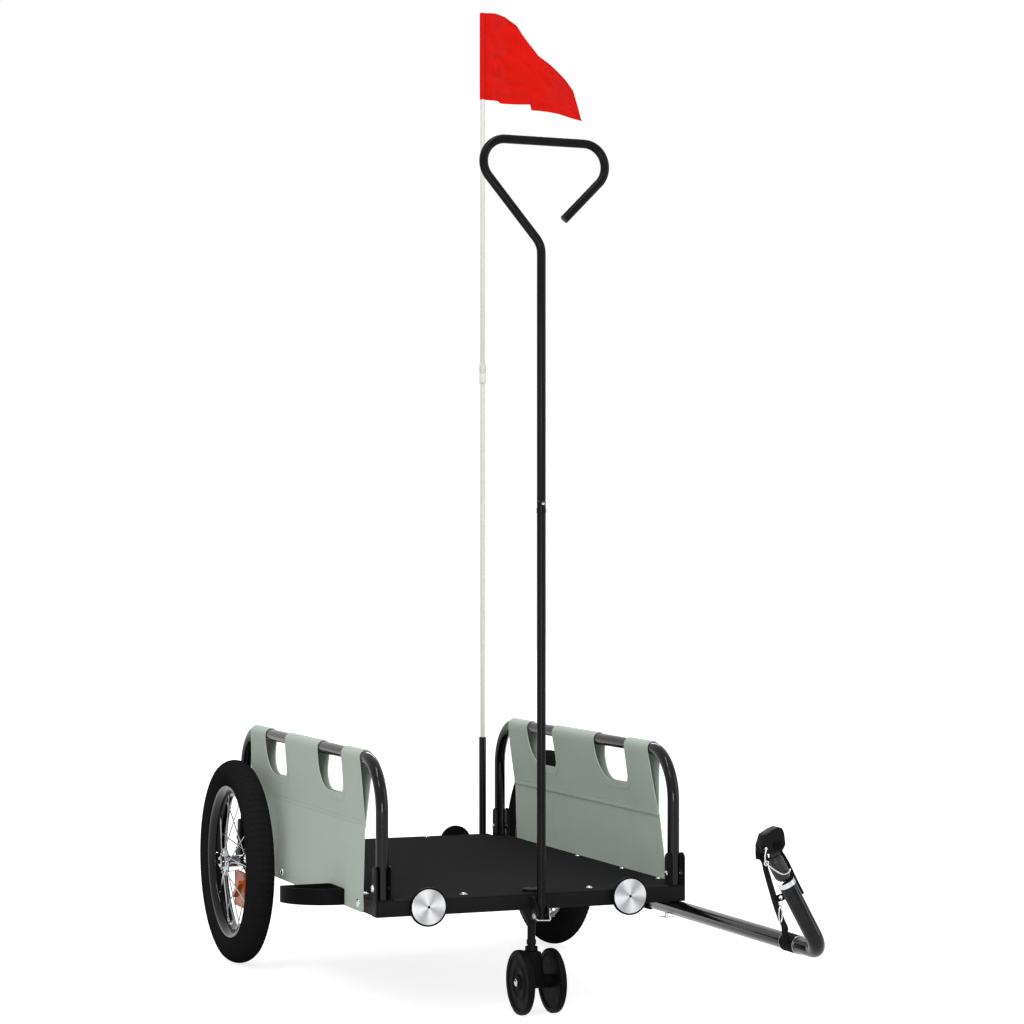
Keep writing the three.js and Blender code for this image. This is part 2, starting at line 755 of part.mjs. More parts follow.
// The cloth's outline seen from the side, with leaning ends, hand holes and the slot for the axle.
function fabricOutline() {
  const top = hoopTop + fabric * 2;
  const foot = fabricBottom + fabricCorner;
  const outline = new THREE.Shape();
  outline.moveTo(fabricTopFrontY, top).lineTo(fabricFootFrontY, foot);
  outline.absarc(fabricFootFrontY + fabricCorner, foot, fabricCorner, Math.PI, 1.5 * Math.PI, false);
  outline.lineTo(axleY - fabricAxleSlot, fabricBottom).lineTo(axleY - fabricAxleSlot, fabricAxleSlotTop);
  outline.lineTo(axleY + fabricAxleSlot, fabricAxleSlotTop).lineTo(axleY + fabricAxleSlot, fabricBottom);
  outline.lineTo(fabricFootRearY, fabricBottom).lineTo(fabricTopRearY, top);
  const rear = handHoleBottom + handHoleRearCorner;
  const front = handHoleBottom + handHoleFrontCorner;
  handHoleShares.forEach((shares) => {
    const [low, high] = shares.map((share) => share * deckLength);
    outline.lineTo(high, top).lineTo(high, rear);
    outline.absarc(high - handHoleRearCorner, rear, handHoleRearCorner, 2 * Math.PI, 1.5 * Math.PI, true);
    outline.absarc(low + handHoleFrontCorner, front, handHoleFrontCorner, 1.5 * Math.PI, Math.PI, true);
    outline.lineTo(low, top);
  });
  return outline.closePath();
}

function sidePanel(side, sign) {
  const low = Math.min(fabricTopFrontY, fabricFootFrontY) - overrun;
  const high = Math.max(fabricTopRearY, fabricFootRearY) + overrun;
  const band = prism(fabricSection(), "XZ", low, high);
  const width = deckHalf + overrun;
  const cloth = common(band, prism(fabricOutline(), "YZ", hoopOffset - width / 2, width + overrun));
  return named(`${side}_side_panel`, mirrored(cloth, sign), "sageFabric");
}

// A tyre's section is open inwards, with two beads that sit in the rim's well.
function tyre() {
  const middle = wheelRadius - tyreRadius;
  const arc = (radius, opening, count) =>
    Array.from({ length: count + 1 }, (_, i) => {
      const angle = (Math.PI - opening) * ((2 * i) / count - 1);
      return [middle + radius * Math.cos(angle), radius * Math.sin(angle)];
    });
  const foot = rimFloorRadius + seatGap;
  const heel = rimHalfWidth - rimFlange - seatGap;
  const sole = rimFloorHalf - seatGap;
  const profile = [
    ...arc(tyreRadius, tyreOpening, tyreSteps),
    [rimOuterRadius, heel],
    [foot, sole],
    [foot, sole - tyreBead],
    ...arc(tyreRadius - tyreWall, tyreInnerOpening, tyreInnerSteps).reverse(),
    [foot, tyreBead - sole],
    [foot, -sole],
    [rimOuterRadius, -heel],
  ];
  return lathe([...profile, profile[0]], wheelSides, X);
}

function rim() {
  const profile = [
    [rimOuterRadius, -rimHalfWidth],
    [rimOuterRadius, rimFlange - rimHalfWidth],
    [rimFloorRadius, -rimFloorHalf],
    [rimFloorRadius, rimFloorHalf],
    [rimOuterRadius, rimHalfWidth - rimFlange],
    [rimOuterRadius, rimHalfWidth],
    [rimFloorRadius, rimHalfWidth],
    [rimInnerRadius, rimInnerHalf],
    [rimInnerRadius, -rimInnerHalf],
    [rimFloorRadius, -rimHalfWidth],
  ];
  return lathe([...profile, profile[0]], wheelSides, X);
}

// One rod of a wheel's spokes, thickened by some amount, about the X axis.
function spoke(index, extra) {
  const side = index % 2 ? 1 : -1;
  const lean = Math.floor(index / 2) % 2 ? spokeTilt : -spokeTilt;
  const turn = (2 * Math.PI * index) / spokeCount;
  const footRadius = hubFlangeRadius - hubFlange;
  const footX = side * (hubFlangeOffset + hubFlange / 2);
  const at = (x, radius, angle) => new THREE.Vector3(x, radius * Math.cos(angle), radius * Math.sin(angle));
  const foot = at(footX, footRadius, turn + lean);
  const tip = at(side * spokeTipOffset, rimInnerRadius * Math.cos(Math.PI / wheelSides) - seatGap, turn);
  const along = tip.clone().sub(foot);
  const wire = rod(spokeRadius + extra, 0, along.length(), Z, spokeSides);
  wire.applyQuaternion(new THREE.Quaternion().setFromUnitVectors(Z, along.normalize()));
  return wire.translate(foot.x, foot.y, foot.z);
}

function hub() {
  const bore = axleRadius + runGap;
  const outer = hubFlangeOffset + hubFlange;
  const profile = [
    [bore, -hubHalfWidth],
    [hubRadius, -hubHalfWidth],
    [hubRadius, -outer],
    [hubFlangeRadius, -outer],
    [hubFlangeRadius, -hubFlangeOffset],
    [hubRadius, -hubFlangeOffset],
    [hubRadius, hubFlangeOffset],
    [hubFlangeRadius, hubFlangeOffset],
    [hubFlangeRadius, outer],
    [hubRadius, outer],
    [hubRadius, hubHalfWidth],
    [bore, hubHalfWidth],
    [bore, -hubHalfWidth],
  ];
  const spokes = Array.from({ length: spokeCount }, (_, i) => spoke(i, 0));
  return join(lathe(profile, hubSides, X), ...spokes);
}

// A plate between the two planes of spokes, upright as the wheel stands, on a bar that grips the spokes.
function spokeReflector() {
  const half = spokeReflectorBarLength / 2;
  const [x, y, z] = [spokeReflectorThickness / 2, spokeReflectorWidth / 2, spokeReflectorHeight / 2];
  const plate = block([-x, x], [-y, y], [-z, z]).translate(0, -spokeReflectorAhead, -spokeReflectorBelow);
  plate.rotateX(-THREE.MathUtils.degToRad(wheelTurn));
  const barLow = spokeReflectorBar + spokeReflectorBarWidth;
  const barReach = [-spokeReflectorReach, spokeReflectorReach];
  const bar = block(barReach, [-half, half], [-barLow, -spokeReflectorBar]);
  const wires = Array.from({ length: spokeCount }, (_, i) => spoke(i, seatGap));
  return cut(join(plate, bar), ...wires);
}

function stubAxle() {
  const bore = buttonRadius + runGap;
  const collarLow = wingInner;
  const collarHigh = wheelOffset - hubHalfWidth - runGap;
  const capLow = wheelOffset + hubHalfWidth + runGap;
  const capHigh = capLow + axleCapLength;
  const floor = capHigh - buttonStem - buttonStroke - runGap;
  const profile = [
    [0, deckHalf - axleSocketLength],
    [axleRadius, deckHalf - axleSocketLength],
    [axleRadius, collarLow],
    [axleCollarRadius, collarLow],
    [axleCollarRadius, collarHigh],
    [axleRadius, collarHigh],
    [axleRadius, capLow],
    [axleCapRadius, capLow],
    [axleCapRadius, capHigh],
    [bore, capHigh],
    [bore, floor],
    [0, floor],
  ];
  return lathe(profile, tubeSides, X).translate(0, axleY, wheelRadius);
}

function releaseButton() {
  const face = wheelOffset + hubHalfWidth + runGap + axleCapLength;
  const tip = face + buttonStand;
  const profile = [
    [0, face - buttonStem],
    [buttonRadius, face - buttonStem],
    [buttonRadius, tip - buttonChamfer],
    [buttonRadius - buttonChamfer, tip],
    [0, tip],
  ];
  return lathe(profile, rodSides, X).translate(0, axleY, wheelRadius);
}

function wheelParts(side, sign) {
  const placed = (geometry) => geometry.translate(sign * wheelOffset, axleY, wheelRadius);
  const turned = (geometry) => placed(geometry.rotateX(THREE.MathUtils.degToRad(wheelTurn)));
  return [
    named(`${side}_tyre`, placed(tyre()), "tyreRubber"),
    named(`${side}_rim`, placed(rim()), "blackTube"),
    named(`${side}_hub`, turned(hub()), "chrome"),
    named(`${side}_spoke_reflector`, turned(spokeReflector()), "orangeLens"),
    named(`${side}_axle`, mirrored(stubAxle(), sign), "steel"),
    named(`${side}_release_button`, mirrored(releaseButton(), sign), "blackPlastic"),
  ];
}

function wheelGuard(side, sign) {
  const inner = deckHalf + seatGap + fabric + seatGap;
  const quarter = (inset) => {
    const centreX = inner + inset;
    const centreY = guardCornerY - inset;
    const points = [new THREE.Vector2(centreX, centreY)];
    for (let i = 0; i <= guardSteps; i++) {
      const angle = (Math.PI / 2) * (i / guardSteps);
      const reach = (guardReach - 2 * inset) * Math.cos(angle);
      const depth = (guardDepth - 2 * inset) * Math.sin(angle);
      points.push(new THREE.Vector2(centreX + reach, centreY - depth));
    }
    return points;
  };
  const outline = new THREE.Shape(quarter(0).reverse());
  outline.holes.push(new THREE.Path(quarter(guardWall)));
  const hoop = prism(outline, "XY", deckUnderside, deckUnderside + guardHeight);
  return named(`${side}_wheel_guard`, mirrored(hoop, sign), "blackPlastic");
}

function casterStem() {
  const profile = [
    [0, casterBodyTop + runGap - stemSpigot],
    [stemFoot, casterBodyTop + runGap - stemSpigot],
    [stemFoot, casterBodyTop + runGap],
    [stemFlangeRadius, casterBodyTop + runGap],
    [stemFlangeRadius, stemFlangeTop],
    [stemRadius, stemFlangeTop],
    [stemRadius, stemCollarLow],
    [stemCollarRadius, stemCollarLow],
    [stemCollarRadius, stemCollarHigh],
    [stemRadius, stemCollarHigh],
    [stemRadius, stemTop],
    [0, stemTop],
  ];
  return named("caster_stem", lathe(profile, tubeSides).translate(0, casterStemY, 0), "blackSteel");
}

function casterCap() {
  const floor = deckTop + seatGap;
  const profile = [
    [0, stemTop + seatGap],
    [stemRadius, stemTop + seatGap],
    [stemRadius, floor],
    [capRadius, floor],
    [capRadius, floor + capHeight - capChamfer],
    [capRadius - capChamfer, floor + capHeight],
    [0, floor + capHeight],
  ];
  return named("caster_cap", lathe(profile, tubeSides).translate(0, casterStemY, 0), "blackPlastic");
}

function casterBody() {
  const outline = new THREE.Shape();
  const front = casterStemY - casterBodyHalf - casterBodyNose;
  outline.moveTo(casterStemY + casterBodyHalf, casterBodyTop);
  outline.lineTo(casterStemY + casterBodyHalf, casterBodyTop - casterPivotDepth);
  outline.lineTo(casterAxleY + casterHubRadius, casterRadius);
  outline.lineTo(casterAxleY - casterHubRadius, casterRadius);
  outline.lineTo(front, casterBodyTop).closePath();
  const web = prism(outline, "YZ", -casterBodyHalf, casterBodyHalf);
  const boss = rod(casterHubRadius, -casterBodyHalf, casterBodyHalf, X, tubeSides);
  const pivotLow = casterBodyTop - casterPivotDepth;
  const pivot = rod(stemFoot + runGap, pivotLow, casterBodyTop + overrun, Z, tubeSides);
  const bore = rod(casterAxleRadius + seatGap, -casterBodyHalf - overrun, casterBodyHalf + overrun, X);
  const whole = join(web, boss.translate(0, casterAxleY, casterRadius));
  const cutters = [pivot.translate(0, casterStemY, 0), bore.translate(0, casterAxleY, casterRadius)];
  return named("caster_body", cut(whole, ...cutters), "blackPlastic");
}

function casterAxle() {
  const nutLow = casterWheelOffset + casterWheelWidth / 2 + runGap;
  const nutHigh = nutLow + casterNut;
  const profile = [
    [0, -nutHigh],
    [casterNutRadius, -nutHigh],
    [casterNutRadius, -nutLow],
    [casterAxleRadius, -nutLow],
    [casterAxleRadius, nutLow],
    [casterNutRadius, nutLow],
    [casterNutRadius, nutHigh],
    [0, nutHigh],
  ];
  return named("caster_axle", lathe(profile, rodSides, X).translate(0, casterAxleY, casterRadius), "steel");
}

function casterWheel(side, sign) {
  const bore = casterAxleRadius + runGap;
  const near = casterBodyHalf + runGap;
  const low = casterWheelOffset - casterWheelWidth / 2;
  const high = casterWheelOffset + casterWheelWidth / 2;
  const tread = casterRadius - casterTyre;
  const profile = [
    [bore, near],
    [casterHubRadius, near],
    [casterHubRadius, low + casterDish],
    [tread, low + casterDish],
    [tread, low],
    [casterRadius - casterShoulder, low],
    [casterRadius, low + casterShoulder],
    [casterRadius, high - casterShoulder],
    [casterRadius - casterShoulder, high],
    [tread, high],
    [tread, high - casterDish],
    [casterHubRadius, high - casterDish],
    [casterHubRadius, high],
    [bore, high],
    [bore, near],
  ];
  const wheel = lathe(profile, casterSides, X).translate(0, casterAxleY, casterRadius);
  return named(`${side}_caster_wheel`, mirrored(wheel, sign), "blackPlastic");
}

function handleBracket() {
  const inner = handleRadius + runGap;
  const outer = inner + handleBracketWall;
  const reach = handleY - handleBracketReach;
  const nose = deckFront - socketProud - seatGap;
  const back = nose - handleBracketWall;
  const throat = casterStemY - socketConeRadius - seatGap;
  const outline = new THREE.Shape();
  outline.moveTo(nose, handleBracketTop).lineTo(nose, deckUnderside + handleBracketStep);
  outline.lineTo(throat, deckUnderside + seatGap).lineTo(throat, handleBracketLow);
  outline.lineTo(reach, handleBracketLow).lineTo(reach, deckUnderside + handleBracketStep);
  outline.lineTo(handleY + handleRadius, handleBracketTop).closePath();
  const cheeks = [prism(outline, "YZ", inner, outer), prism(outline, "YZ", -outer, -inner)];
  const plate = block([-outer, outer], [back, nose], [deckUnderside + handleBracketStep, handleBracketTop]);
  const bore = rod(handlePinRadius + seatGap, -outer - overrun, outer + overrun, X);
  const whole = cut(join(...cheeks, plate), bore.translate(0, handleY, handlePinHeight));
  return named("handle_bracket", whole, "blackSteel");
}

// A lock pin with a wire bow that runs round the bracket's front and clips over the pin's far end.
function handlePin() {
  const cheek = handleRadius + runGap + handleBracketWall + seatGap;
  const head = lathe(
    [
      [0, -cheek - handlePinHead],
      [handlePinHeadRadius, -cheek - handlePinHead],
      [handlePinHeadRadius, -cheek],
      [handlePinRadius, -cheek],
      [handlePinRadius, handlePinReach],
      [0, handlePinReach],
    ],
    rodSides,
    X,
  ).translate(0, handleY, handlePinHeight);
  const front = handleY - handleBowReach;
  const low = handlePinHeight - handlePinDrop;
  const end = handlePinReach - wireRadius * 2;
  const corners = vectors([
    [-cheek - handlePinHead / 2, handleY, handlePinHeight],
    [-cheek - handlePinHead / 2, front, low + wireRadius],
    [end, front, low],
    [end, handleY - handlePinHeadRadius, handlePinHeight + handlePinHead],
    [end + handlePinHeadRadius, handleY - handlePinRadius, handlePinHeight + 2 * handlePinHead],
  ]);
  const bow = sweep(new BentPath(corners, wireBend), new THREE.Shape(ring(wireRadius, wireSides)));
  return named("handle_pin", join(head, bow), "steel");
}

function handleLower() {
  const tube = lathe(
    pipeProfile(handleRadius - handleWall, handleRadius, handleFoot, handleJoint),
    tubeSides,
  );
  const bands = [handleRadius - handleWall / 2, handleRadius + handleCollar];
  const collar = lathe(pipeProfile(...bands, handleCollarLow, handleCollarHigh), tubeSides);
  const pinBore = rod(handlePinRadius + seatGap, -handleRadius - overrun, handleRadius + overrun, X);
  const window = rod(handleButtonRadius + seatGap, -handleRadius - overrun, 0, Y);
  const cutters = [pinBore.translate(0, 0, handlePinHeight), window.translate(0, 0, handleButtonHeight)];
  const whole = cut(join(tube, collar), ...cutters);
  return named("handle_lower", whole.translate(0, handleY, 0), "blackTube");
}

function handleUpper() {
  const start = handleJoint + seatGap;
  const corners = vectors([
    [0, 0, start],
    [0, 0, handleBendHeight],
    [-handleLeftReach, 0, handleBarHeight],
    [handleRightReach, 0, handleBarHeight],
    [handleEndX, 0, handleEndHeight],
  ]);
  const loop = sweep(new BentPath(corners, handleBend), tubeOutline(handleRadius, handleWall, rodSides));
  const spigotRadius = handleRadius - handleWall - seatGap;
  const inner = spigotRadius - handleWall;
  const profile = [
    [inner, start - handleSpigot],
    [spigotRadius, start - handleSpigot],
    [spigotRadius, start],
    [handleRadius - handleWall / 2, start],
    [handleRadius - handleWall / 2, start + handleSpigotRoot],
    [inner, start + handleSpigotRoot],
    [inner, start - handleSpigot],
  ];
  const window = rod(handleButtonRadius + seatGap, -handleRadius - overrun, 0, Y);
  const whole = cut(join(loop, lathe(profile, rodSides)), window.translate(0, 0, handleButtonHeight));
  return named("handle_upper", whole.translate(0, handleY, 0), "blackTube");
}

function handleSnapButton() {
  const outer = handleRadius + handleButtonStand;
  const button = rod(handleButtonRadius, -outer, -handleButtonRoot, Y);
  return named("handle_snap_button", button.translate(0, handleY, handleButtonHeight), "steel");
}

// Moves a piece from the riser's frame, with Z along the riser from the elbow, to its place.
function atRiser(geometry) {
  return geometry.rotateY(riserTurn).translate(armX, armElbowY, armZ);
}

function towArm() {
  const end = new THREE.Vector3(0, 0, riserLength).applyAxisAngle(Y, riserTurn);
  const corners = vectors([[armX, armRearY, armZ], [armX, armElbowY, armZ]]);
  corners.push(end.add(corners[1]));
  const tube = sweep(new BentPath(corners, armBend, armBendSteps), tubeOutline(armRadius, armWall));
  const bore = rod(armPinRadius + seatGap, -armRadius - overrun, armRadius + overrun);
  return named("tow_arm", cut(tube, bore.translate(armX, armPinY, armZ)), "blackTube");
}

function armClamp() {
  const bore = armRadius + seatGap;
  const outer = bore + clampWall;
  const outline = new THREE.Shape();
  outline.moveTo(-outer, armRadius).lineTo(-outer, 0);
  outline.absarc(0, 0, outer, Math.PI, 2 * Math.PI, false).lineTo(outer, armRadius).lineTo(bore, armRadius);
  outline.lineTo(bore, 0).absarc(0, 0, bore, 2 * Math.PI, Math.PI, true).lineTo(-bore, armRadius).closePath();
  const saddle = prism(outline, "XZ", clampY - clampLength / 2, clampY + clampLength / 2);
  return named("arm_clamp", saddle.translate(armX, 0, armZ), "blackSteel");
}

// A pin up through the arm and the rail, with a wire clip across its foot.
function armPin() {
  const pin = rod(armPinRadius, armPinFoot, deckUnderside + railWall + armPinReach);
  const corners = vectors([
    [clipHalf, 0, clipHeight],
    [-clipHalf, 0, clipHeight],
    [-clipHalf, 0, clipHeight + clipTip],
  ]);
  const clip = sweep(new BentPath(corners, wireBend), new THREE.Shape(ring(wireRadius, wireSides)));
  return named("arm_pin", join(pin, clip).translate(armX, armPinY, 0), "steel");
}

function hitchFerrule() {
  const spigot = armRadius - armWall - seatGap;
  const start = riserLength + seatGap;
  const profile = [
    [0, start - ferruleSpigot],
    [spigot, start - ferruleSpigot],
    [spigot, start],
    [armRadius + ferruleLip, start],
    [armRadius + ferruleLip, start + ferruleLength],
    [0, start + ferruleLength],
  ];
  return named("hitch_ferrule", atRiser(lathe(profile, tubeSides)), "steel");
}

// A rubber joint body with a round foot, a waist and a flat tongue for the coupler.
function hitchBoot() {
  const foot = Array.from({ length: bootSteps }, (_, i) => {
    const angle = (Math.PI / 2) * (i / bootSteps);
    return [bootRadius * Math.sin(angle), bootPivot - bootRadius * Math.cos(angle)];
  });
  const profile = [...foot, [bootRadius, bootPivot], [bootRadius, bootShoulder], [bootNeckRadius, bootNeck]];
  const body = lathe([...profile, [0, bootNeck]], tubeSides);
  const half = tongueThickness / 2;
  const outline = new THREE.Shape();
  outline.moveTo(-tongueRoot, bootNeck - bootRadius / 2).lineTo(tongueRoot, bootNeck - bootRadius / 2);
  outline.lineTo(couplerPivotX + tongueHead, couplerPivot);
  outline.absarc(couplerPivotX, couplerPivot, tongueHead, 0, Math.PI, false).closePath();
  const tongue = prism(outline, "XZ", -half, half);
  const bore = rod(couplerPinRadius + seatGap, -bootRadius, bootRadius, Y);
  const whole = cut(join(body, tongue), bore.translate(couplerPivotX, 0, couplerPivot));
  return named("hitch_boot", atRiser(whole), "blackPlastic");
}

function hitchCoupler() {
  const outline = new THREE.Shape(
    couplerOutlineShares.map(([x, z]) => new THREE.Vector2(x * couplerWidth, couplerLow + z * couplerHeight)),
  );
  const slot = tongueThickness / 2 + runGap;
  const outer = slot + couplerSide;
  const whole = prism(outline, "XZ", -outer, outer);
  const mouth = block([-couplerWidth, couplerWidth], [-slot, slot], [couplerLow - overrun, couplerSlotTop]);
  const bore = rod(couplerPinRadius + seatGap, -outer - overrun, outer + overrun, Y);
  const lockBore = rod(lockPinRadius + seatGap, -outer - overrun, outer + overrun, Y);
  bore.translate(couplerPivotX, 0, couplerPivot);
  lockBore.translate(lockPinX, 0, lockPinHeight);
  return named("hitch_coupler", atRiser(cut(whole, mouth, bore, lockBore)), "blackSteel");
}

function hitchPin() {
  const face = tongueThickness / 2 + runGap + couplerSide + seatGap;
  const profile = [
    [0, -face - couplerPinHead],
    [couplerPinHeadRadius, -face - couplerPinHead],
    [couplerPinHeadRadius, -face],
    [couplerPinRadius, -face],
    [couplerPinRadius, face],
    [couplerPinHeadRadius, face],
    [couplerPinHeadRadius, face + couplerPinHead],
    [0, face + couplerPinHead],
  ];
  const pin = lathe(profile, rodSides, Y).translate(couplerPivotX, 0, couplerPivot);
  return named("hitch_pin", atRiser(pin), "steel");
}

// A lock pin through the coupler, with a wire bow round the front of the boot.
function hitchLockPin() {
  const face = tongueThickness / 2 + runGap + couplerSide;
  const front = -face - lockPinHead;
  const pin = rod(lockPinRadius, front, face + lockPinHead, Y).translate(lockPinX, 0, lockPinHeight);
  const corners = lockBowShares.map(([x, z]) => {
    const place = [lockPinX + x * lockBowWidth, front + wireRadius, lockPinHeight - z * lockBowDepth];
    return new THREE.Vector3(...place);
  });
  const wire = new THREE.Shape(ring(wireRadius, wireSides));
  const bow = sweep(new BentPath(corners, wireBend, lockBowSteps), wire);
  return named("hitch_lock_pin", atRiser(join(pin, bow)), "steel");
}

// Webbing that is sewn round the arm, runs up behind the coupler and comes down beside the riser.
function safetyStrap() {
  const inner = armRadius + seatGap;
  const half = strapBandWidth / 2;
  const band = lathe(pipeProfile(inner, inner + strapThickness, -half, half), tubeSides, Y);
  const climb = vectors(strapClimb.map(([inwards, behind, z]) => [armX - inwards, armElbowY + behind, z]));
  const crossing = strapCrossing.map(([x, z]) => atRiserPoint(x, strapBehind, z));
  const path = [...climb, ...crossing];
  const widths = path.map((place, i) => {
    if (i < climb.length) return Y;
    const before = path[Math.max(i - 1, 0)];
    const after = path[Math.min(i + 1, path.length - 1)];
    return after.clone().sub(before).cross(Y).normalize();
  });
  for (let i = 1; i < widths.length; i++) {
    if (widths[i].dot(widths[i - 1]) < 0) widths[i].negate();
  }
  const section = new THREE.Shape(rectangle(strapWidth, strapThickness));
  const ribbon = sweep(new RibbonPath(path, widths), section);
  return named("safety_strap", join(band.translate(armX, strapBandY, armZ), ribbon), "webbing");
}

function atRiserPoint(x, y, z) {
  const elbow = new THREE.Vector3(armX, armElbowY, armZ);
  return new THREE.Vector3(x, y, z).applyAxisAngle(Y, riserTurn).add(elbow);
}

function rectangle(width, height) {
  const corners = [[-1, -1], [1, -1], [1, 1], [-1, 1]];
  return corners.map(([x, y]) => new THREE.Vector2((x * width) / 2, (y * height) / 2));
}

// A short tail with a round end, sewn behind the strap's end, that holds the snap hook.
function strapTail() {
  const near = strapBehind + strapThickness / 2 + seatGap;
  const outline = new THREE.Shape();
  const round = tailWidth / 2;
  const [endX, endZ] = [tailLeft + round, tailLow + round + tailRise];
  outline.moveTo(tailRight, tailLow).lineTo(tailRight, tailLow + tailWidth).lineTo(endX, endZ + round);
  outline.absarc(endX, endZ, round, Math.PI / 2, 1.5 * Math.PI, false).closePath();
  const tail = prism(outline, "XZ", near, near + strapThickness);
  const eye = rod(tailEyeRadius, near - overrun, near + strapThickness + overrun, Y);
  eye.translate(tailEyeX, 0, tailEyeZ);
  return named("strap_tail", atRiser(cut(tail, eye)), "webbing");
}

// A ring and a long snap on it, as one forging, hanging from the tail's eye.
function snapHook() {
  const eye = atRiserPoint(tailEyeX, strapBehind + strapThickness + seatGap, tailEyeZ);
  const seat = eye.z - tailEyeRadius + hookWire / 2 + seatGap;
  const loop = new THREE.TorusGeometry(hookRingRadius, hookWire / 2, wireSides, rodSides);
  loop.rotateY(Math.PI / 2);
  loop.translate(eye.x, eye.y, seat - hookRingRadius);
  const low = seat - 2 * hookRingRadius;
  const snap = new THREE.TorusGeometry(hookRingRadius, hookWire / 2, wireSides, rodSides);
  snap.scale(hookSlimShare, hookLength / (2 * hookRingRadius), 1).rotateX(Math.PI / 2);
  snap.translate(eye.x, eye.y, low - hookLength / 2);
  return named("snap_hook", join(loop, snap), "steel");
}

function flagHolder() {
  const profile = [
    [0, holderFoot],
    [holderRadius, holderFoot],
    [holderRadius, holderTop],
    [holderBore, holderTop],
    [holderBore, holderFoot + holderFloor],
    [0, holderFoot + holderFloor],
  ];
  const near = deckRear + seatGap;
  const half = holderPlateWidth / 2;
  const plate = block([flagX - half, flagX + half], [near, near + holderPlate], [holderFoot, railTop]);
  const holder = join(lathe(profile, tubeSides).translate(flagX, flagY, 0), plate);
  return named("flag_holder", holder, "blackTube");
}

function flagPole() {
  const lower = rod(poleRadius, holderFoot + holderFloor + seatGap, poleJoint);
  const upper = rod(poleRadius, poleJoint + seatGap, poleTop);
  const ferrule = lathe(
    pipeProfile(poleRadius + seatGap, ferruleTubeRadius, ferruleTubeLow, ferruleTubeHigh),
    rodSides,
  );
  return [
    named("flag_pole_lower", lower.translate(flagX, flagY, 0), "whitePole"),
    named("flag_pole_upper", upper.translate(flagX, flagY, 0), "whitePole"),
    named("flag_ferrule", ferrule.translate(flagX, flagY, 0), "whitePole"),
  ];
}

// A pennant whose cloth follows a waving line seen from above, on a sleeve round the pole.
function flag() {
  const foot = flagTop - flagHoist;
  const inner = poleRadius + seatGap;
  const sleeve = lathe(pipeProfile(inner, inner + flagSleeveWall, foot, flagTop), rodSides);
  const line = flagWaveShares.map(([x, y]) => new THREE.Vector2(x * flagReach, y * flagSwing));
  line[0].x = inner + flagSleeveWall / 2;
  const offset = (sign) =>
    line.map((point, i) => {
      const before = line[Math.max(i - 1, 0)];
      const after = line[Math.min(i + 1, line.length - 1)];
      const along = after.clone().sub(before).normalize();
      return new THREE.Vector2(
        point.x - (along.y * sign * flagThickness) / 2,
        point.y + (along.x * sign * flagThickness) / 2,
      );
    });
  const plan = new THREE.Shape([...offset(-1), ...offset(1).reverse()]);
  const cloth = prism(plan, "XY", foot - flagHoist, flagTop + overrun);
  const outline = new THREE.Shape(
    flagOutlineShares.map(([x, z]) => new THREE.Vector2(x * flagReach, foot + z * flagHoist)),
  );
  const cutter = prism(outline, "XZ", -flagSwing * 2, flagSwing * 2);
  return named("flag", join(sleeve, common(cloth, cutter)).translate(flagX, flagY, 0), "redFlag");
}

function reflector(name, x, end, finish) {
  const near = deckLength / 2 + seatGap;
  const far = near + reflectorDepth;
  const profile = [
    [0, near],
    [reflectorRadius, near],
    [reflectorRadius, far],
    [reflectorLensRadius, far],
    [reflectorLensRadius, far - reflectorLip],
    [0, far - reflectorLip],
  ];
  const disc = lathe(profile, reflectorSides, end === "front" ? Y.clone().negate() : Y);
  return named(name, disc.translate(x, 0, reflectorHeight), finish);
}

const trailer = new THREE.Group();
trailer.name = "bike_trailer";
trailer.add(deckFrame(), deckPanel());
trailer.add(...bothSides((side, sign) => [sideHoop(side, sign), sidePanel(side, sign)]));
trailer.add(
  ...bothSides((side, sign) =>
    ["front", "rear"].flatMap((end) => [hoopBracket(side, sign, end), hoopBolt(side, sign, end)]),
  ),
);
trailer.add(...bothSides((side, sign) => [...wheelParts(side, sign), wheelGuard(side, sign)]));
trailer.add(casterStem(), casterCap(), casterBody(), casterAxle());
trailer.add(...bothSides((side, sign) => [casterWheel(side, sign)]));
trailer.add(handleBracket(), handlePin(), handleLower(), handleUpper(), handleSnapButton());
trailer.add(towArm(), armClamp(), armPin());
trailer.add(hitchFerrule(), hitchBoot(), hitchCoupler(), hitchPin(), hitchLockPin());
trailer.add(safetyStrap(), strapTail(), snapHook());
trailer.add(flagHolder(), ...flagPole(), flag());
trailer.add(
  reflector("front_right_reflector", reflectorFrontRightX, "front", "clearLens"),
  reflector("front_left_reflector", reflectorFrontLeftX, "front", "clearLens"),
  reflector("rear_right_reflector", -reflectorRearX, "rear", "redLens"),
  reflector("rear_left_reflector", reflectorRearX, "rear", "redLens"),
);

// The part's origin is on the ground, under the middle of its box.
const bounds = new THREE.Box3().setFromObject(trailer);
const middle = bounds.getCenter(new THREE.Vector3());
trailer.children.forEach((mesh) => mesh.geometry.translate(-middle.x, -middle.y, -bounds.min.z));

export default trailer;
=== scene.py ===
import logging
import math
from dataclasses import dataclass, field
from enum import Enum
from typing import Callable, Optional, Sequence

import bmesh
import bpy
from mathutils import Matrix, Vector, noise


